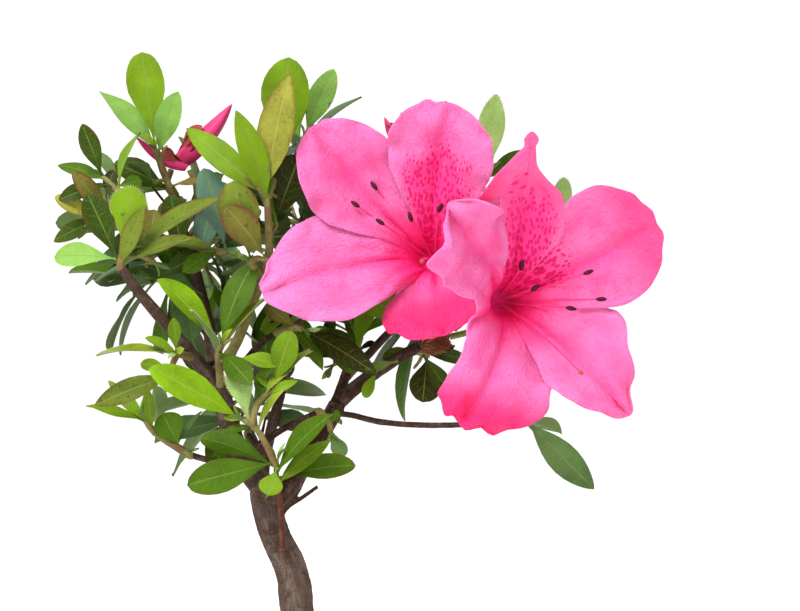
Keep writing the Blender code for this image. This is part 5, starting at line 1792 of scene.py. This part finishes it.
def anther(shell, centre, long_way, across, kind):
    """Two pollen sacs side by side, each a rounded spindle."""
    other = long_way.cross(across).normalized()
    for sign in (-1, 1):
        middle = centre + other * sign * SAC_APART
        path, radii = [], []
        for i in range(SAC_STEPS + 1):
            s = i / SAC_STEPS
            path.append(middle + long_way * (s - 0.5) * SAC_LENGTH)
            full = math.sin(math.pi * min(1, s * 0.96 + 0.03)) ** 0.6
            radii.append(SAC_RADII[0] + SAC_RADII[1] * full)
        tube(shell, path, radii, SAC_STEPS, kind)


def make_bloom_threads(name, bloom, settings):
    """Stamens with their anthers, and the pistil with its knob."""
    shell = Shell()
    for mark in bloom.stamens:
        path, axis, across = thread_path(bloom, mark, False)
        foot, less = FILAMENT_RADII
        radii = [foot - less * i / FILAMENT_ROWS for i in range(FILAMENT_ROWS + 1)]
        tube(shell, path, radii, 6, 0)
        anther(shell, path[-1] + axis * 0.1, axis.cross(across), across, 1)
    base = Vector(bloom.base)
    wall = max(radius for petal in bloom.petals
               for t, radius, height, angle in petal_rows(petal)
               if height < FLOOR_HEIGHT)
    turned_body(shell, base, Vector(bloom.axis).normalized(),
                ((0.4, 2.0), (FLOOR_HEIGHT - 0.5, wall), (FLOOR_HEIGHT, wall * 0.97),
                 (FLOOR_HEIGHT - 1.2, wall * 0.5), (FLOOR_HEIGHT - 3.0, 0.3)), 24, 3)
    path, axis, across = thread_path(bloom, bloom.pistil, True)
    foot, less = PISTIL_RADII
    radii = [foot - less * i / FILAMENT_ROWS for i in range(FILAMENT_ROWS + 1)]
    tube(shell, path, radii, 6, 0)
    way = (path[-1] - path[-2]).normalized()
    knob = [path[-1] + way * (s - 0.5) * KNOB_LENGTH for s in KNOB_STEPS]
    tube(shell, knob, KNOB_RADII, 10, 2)
    piece = shell.piece(f"{name}_stamens", [
        plain_tissue("stamen_thread", settings.filament, 0.4, 700, 1.7),
        plain_tissue("anther_wall", settings.anther, 0.5, 1800),
        plain_tissue("stigma_knob", settings.stigma, 0.35, 1500),
        plain_tissue("tube_floor", settings.throat, 0.5, 900, 1.8)])
    settle(piece, [name])


def make_bloom_foot(name, bloom, settings):
    """The bloom's stalk, its swollen end and five calyx lobes against the tube."""
    axis, up, right = bloom_frame(bloom)
    base = Vector(bloom.base)
    shell = Shell()
    path = smooth_path((*bloom.pedicel, base - axis * 2.4, base + axis * 0.2), 5)
    count = len(path) - 1
    radii = [STALK_RADIUS + STALK_SWELLS * ease((i / count - 0.72) / 0.28)
             for i in range(count + 1)]
    tube(shell, path, radii, 10)
    leaf_settings = bpy.context.scene.azalea_leaves
    rng = random.Random(name)
    for k in range(CALYX_LOBES):
        out, across = around_axis(up, right, 72 * k + 30)
        way = (axis + out * 0.30).normalized()
        lobe = Leaf(base - axis * 0.8 + out * 2.6, way, out, CALYX_LENGTH, CALYX_WIDTH, "m", name)
        leaf_blade(shell, lobe, rng, leaf_settings)
    skin = plain_tissue("calyx_skin", settings.calyx, 0.55, 900)
    piece = shell.piece(f"{name}_calyx", [skin, skin, skin])
    settle(piece, [name])


def make_bloom(name, bloom, seed, settings):
    """A bloom's petals with their thickness, its threads and its foot."""
    piece = petal_shell(bloom, seed, settings).piece(f"{name}_petals", [])
    only(piece)
    bpy.ops.object.mode_set(mode="EDIT")
    bpy.ops.mesh.select_all(action="SELECT")
    bpy.ops.mesh.normals_make_consistent(inside=False)
    bpy.ops.object.mode_set(mode="OBJECT")
    wall = piece.modifiers.new("wall", "SOLIDIFY")
    wall.thickness = settings.thickness
    wall.offset = 0
    bpy.ops.object.modifier_apply(modifier="wall")
    piece.data.materials.append(petal_material(settings))
    settle(piece, [name])
    make_bloom_threads(name, bloom, settings)
    make_bloom_foot(name, bloom, settings)


# Buds, in millimetres and shares of a length
BUD_NARROW = 0.74
BUD_BOW = 1.5
BUD_ROWS = 28
BUD_SIDES = 36
BUD_LAPS = 3            # petals that lap round a furled bud
LAP_OVER = 0.8          # the share of a petal over which it rises to its edge
FINEST = 0.12
SCALE_FROM = 0.4
SCALE_SPREAD = 2.2
BUD_HAIRS = 240
HAIR_LENGTH = 2.0
HAIR_THICK = 0.07
HAIR_BEND = 0.25


def spindle_frame(base, tip):
    """The way from foot to tip, and two ways across it."""
    axis = (tip - base).normalized()
    side = axis.orthogonal().normalized()
    return axis, side, axis.cross(side)


def furled_petals(shell, bud, turns, kind):
    """Furled petals: a spindle whose section is a few overlapping lobes that turn as they rise."""
    base, tip = Vector(bud.base), Vector(bud.tip)
    axis, side, other = spindle_frame(base, tip)
    bow = Vector((0, 0, -1)) - axis * Vector((0, 0, -1)).dot(axis)
    rings = []
    for i in range(BUD_ROWS + 1):
        t = i / BUD_ROWS
        radius = bud.radius * BUD_NARROW * math.sin(math.pi * (0.10 + 0.90 * t) ** 0.75) ** 0.7
        radius = max(radius, FINEST)
        centre = base.lerp(tip, t) + bow * BUD_BOW * math.sin(math.pi * t)
        ring = []
        for k in range(BUD_SIDES):
            angle = 2 * math.pi * k / BUD_SIDES
            lobe = (angle / (2 * math.pi) * BUD_LAPS + turns * t) % 1.0
            step = ease(lobe / LAP_OVER) * (1 - ease((lobe - LAP_OVER) / 0.2))
            reach = radius * (0.88 + 0.16 * step)
            ring.append(shell.spot(centre + (side * math.cos(angle) + other * math.sin(angle))
                                   * reach))
        rings.append(ring)
    join_rings(shell, rings, kind)


def bud_scales(shell, bud, count, length, spread, rng, kind, width=0.62):
    """Overlapping scales that clasp the bud from its foot."""
    base, tip = Vector(bud.base), Vector(bud.tip)
    axis, side, other = spindle_frame(base, tip)
    settings = bpy.context.scene.azalea_leaves
    for k in range(count):
        angle = math.radians(GOLDEN * k)
        out = side * math.cos(angle) + other * math.sin(angle)
        share = k / count
        root = base + axis * (SCALE_FROM + SCALE_SPREAD * share) + out * bud.radius * 0.30
        way = (axis + out * spread).normalized()
        reach = length * rng.uniform(0.85, 1.1)
        before = len(shell.kinds)
        leaf_blade(shell, Leaf(root, way, out, reach, reach * width, "m", ""), rng, settings)
        for i in range(before, len(shell.kinds)):
            shell.kinds[i] = kind


def hairs(shell, bud, rng, kind):
    """Curved bristles that stand out of a bud."""
    base, tip = Vector(bud.base), Vector(bud.tip)
    axis, side, other = spindle_frame(base, tip)
    for _ in range(BUD_HAIRS):
        angle = rng.uniform(0, 2 * math.pi)
        out = side * math.cos(angle) + other * math.sin(angle)
        root = base.lerp(tip, rng.uniform(0.05, 0.95)) + out * bud.radius * rng.uniform(0.5, 0.9)
        way = (out + axis * rng.uniform(0.3, 1.4)).normalized()
        reach = HAIR_LENGTH * rng.uniform(0.6, 1.2)
        bend = Vector((rng.uniform(-1, 1), rng.uniform(-1, 1), rng.uniform(-1, 1)))
        bend = bend * reach * HAIR_BEND
        path = [root, root + way * reach * 0.5 + bend, root + way * reach + bend * 0.3]
        tube(shell, path, [HAIR_THICK, HAIR_THICK * 0.8, HAIR_THICK * 0.3], 3, kind)


def make_buds(settings):
    """Three furled buds in their bracts, and the winter bud under hairy scales."""
    rng = random.Random("buds")
    petal = plain_tissue("furled_petal", settings.petal, 0.42, 260, 1.25)
    bract = plain_tissue("bud_bract", settings.bract, 0.5, 420, 1.35)
    scale = plain_tissue("winter_bud_scale", settings.scale, 0.6, 700)
    hair = plain_tissue("rusty_hair", settings.hair, 0.6, 300)
    for name in ("bud_upper_left", "bud_hidden_left", "bud_behind"):
        bud = BUDS[name]
        shell = Shell()
        furled_petals(shell, bud, 0.8, 0)
        bud_scales(shell, bud, 5, bud.radius * 2.9, 0.13, rng, 1, 0.40)
        settle(shell.piece(f"{name}_petals", [petal, bract]),
               [name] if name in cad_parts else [])
    bud = BUDS["bud_scales"]
    shell = Shell()
    furled_petals(shell, bud, 0.4, 0)
    bud_scales(shell, bud, 11, bud.radius * 2.3, 0.34, rng, 0, 0.7)
    hairs(shell, bud, rng, 1)
    settle(shell.piece("winter_bud", [scale, hair]), ["bud_scales"])


# Stage

def make_stage(settings):
    """A wide pale floor, even light, one large soft key light and the camera."""
    deselect()
    bpy.ops.mesh.primitive_circle_add(vertices=96, radius=settings.floor, fill_type="NGON",
                                      location=FLOOR_PLACE)
    floor = bpy.context.object
    floor.name = "floor"
    paper, tree, shader = new_material("matt_white_paper", 0.9, Specular_IOR_Level=0.1)
    shader.inputs["Base Color"].default_value = (*settings.paper, 1)
    floor.data.materials.append(paper)
    world = bpy.data.worlds.new("even_light")
    bpy.context.scene.world = world
    world.use_nodes = True
    back = world.node_tree.nodes["Background"]
    back.inputs["Color"].default_value = (1, 1, 1, 1)
    back.inputs["Strength"].default_value = settings.sky
    deselect()
    bpy.ops.object.light_add(type="AREA", location=LIGHT_PLACE)
    key = bpy.context.object
    key.name = "key_light"
    key.data.shape = "DISK"
    key.data.size = LIGHT_WIDTH
    key.data.energy = settings.key
    key.rotation_euler = (LIGHT_AIM - key.location).to_track_quat("-Z", "Y").to_euler()
    bpy.ops.object.camera_add(location=(CAMERA_RIGHT, -settings.distance, CAMERA_HEIGHT),
                              rotation=(math.radians(90), 0, 0))
    camera = bpy.context.object
    camera.name = "camera"
    camera.data.lens = settings.lens
    camera.data.sensor_width = SENSOR
    camera.data.clip_end = 100
    bpy.context.scene.camera = camera
    bpy.context.scene.view_settings.view_transform = "Standard"


# The add-on's operators and panel

class AZALEA_OT_wood(Operator):
    """Grow the trunk and boughs under their bark"""
    bl_idname = "azalea.wood"
    bl_label = "Trunk and boughs"

    def execute(self, context):
        make_wood(context.scene.azalea_bark)
        return {"FINISHED"}


class AZALEA_OT_leaves(Operator):
    """Grow the leafy shoots and their leaves"""
    bl_idname = "azalea.leaves"
    bl_label = "Shoots and leaves"

    def execute(self, context):
        twigs, leaves = grow_all()
        make_twigs(twigs)
        make_leaves(twigs, leaves, context.scene.azalea_leaves)
        return {"FINISHED"}


class AZALEA_OT_blooms(Operator):
    """Make the two open blooms with their stamens and stalks"""
    bl_idname = "azalea.blooms"
    bl_label = "Blooms"

    def execute(self, context):
        for seed, (name, bloom) in enumerate(BLOOMS.items()):
            make_bloom(name, bloom, seed * 3.7 + 1, context.scene.azalea_blooms)
        return {"FINISHED"}


class AZALEA_OT_buds(Operator):
    """Make the opening bud, the hidden bud and the winter bud"""
    bl_idname = "azalea.buds"
    bl_label = "Buds"

    def execute(self, context):
        make_buds(context.scene.azalea_buds)
        return {"FINISHED"}


class AZALEA_OT_stage(Operator):
    """Set up the floor, the light and the camera"""
    bl_idname = "azalea.stage"
    bl_label = "Stage"

    def execute(self, context):
        make_stage(context.scene.azalea_stage)
        return {"FINISHED"}


class AZALEA_PT_panel(Panel):
    """Lists the azalea's pieces"""
    bl_idname = "AZALEA_PT_panel"
    bl_label = "Azalea shrub"
    bl_space_type = "VIEW_3D"
    bl_region_type = "UI"
    bl_category = "Azalea"

    def draw(self, context):
        for operator, group in zip(OPERATORS, GROUPS):
            self.layout.operator(operator.bl_idname)
            box = self.layout.box()
            for name in getattr(context.scene, group).bl_rna.properties.keys():
                if name not in {"rna_type", "name"}:
                    box.prop(getattr(context.scene, group), name)


GROUPS = {"azalea_bark": BarkSettings, "azalea_leaves": LeafSettings,
          "azalea_blooms": BloomSettings, "azalea_buds": BudSettings,
          "azalea_stage": StageSettings}
OPERATORS = (AZALEA_OT_wood, AZALEA_OT_leaves, AZALEA_OT_blooms, AZALEA_OT_buds, AZALEA_OT_stage)


def register():
    for cls in (*GROUPS.values(), *OPERATORS, AZALEA_PT_panel):
        bpy.utils.register_class(cls)
    for name, cls in GROUPS.items():
        setattr(bpy.types.Scene, name, PointerProperty(type=cls))


def unregister():
    for name in GROUPS:
        delattr(bpy.types.Scene, name)
    for cls in (AZALEA_PT_panel, *OPERATORS, *reversed(GROUPS.values())):
        bpy.utils.unregister_class(cls)


def main():
    register()
    bpy.ops.azalea.wood()
    bpy.ops.azalea.leaves()
    bpy.ops.azalea.blooms()
    bpy.ops.azalea.buds()
    bpy.ops.azalea.stage()


if __name__ == "__main__":
    main()
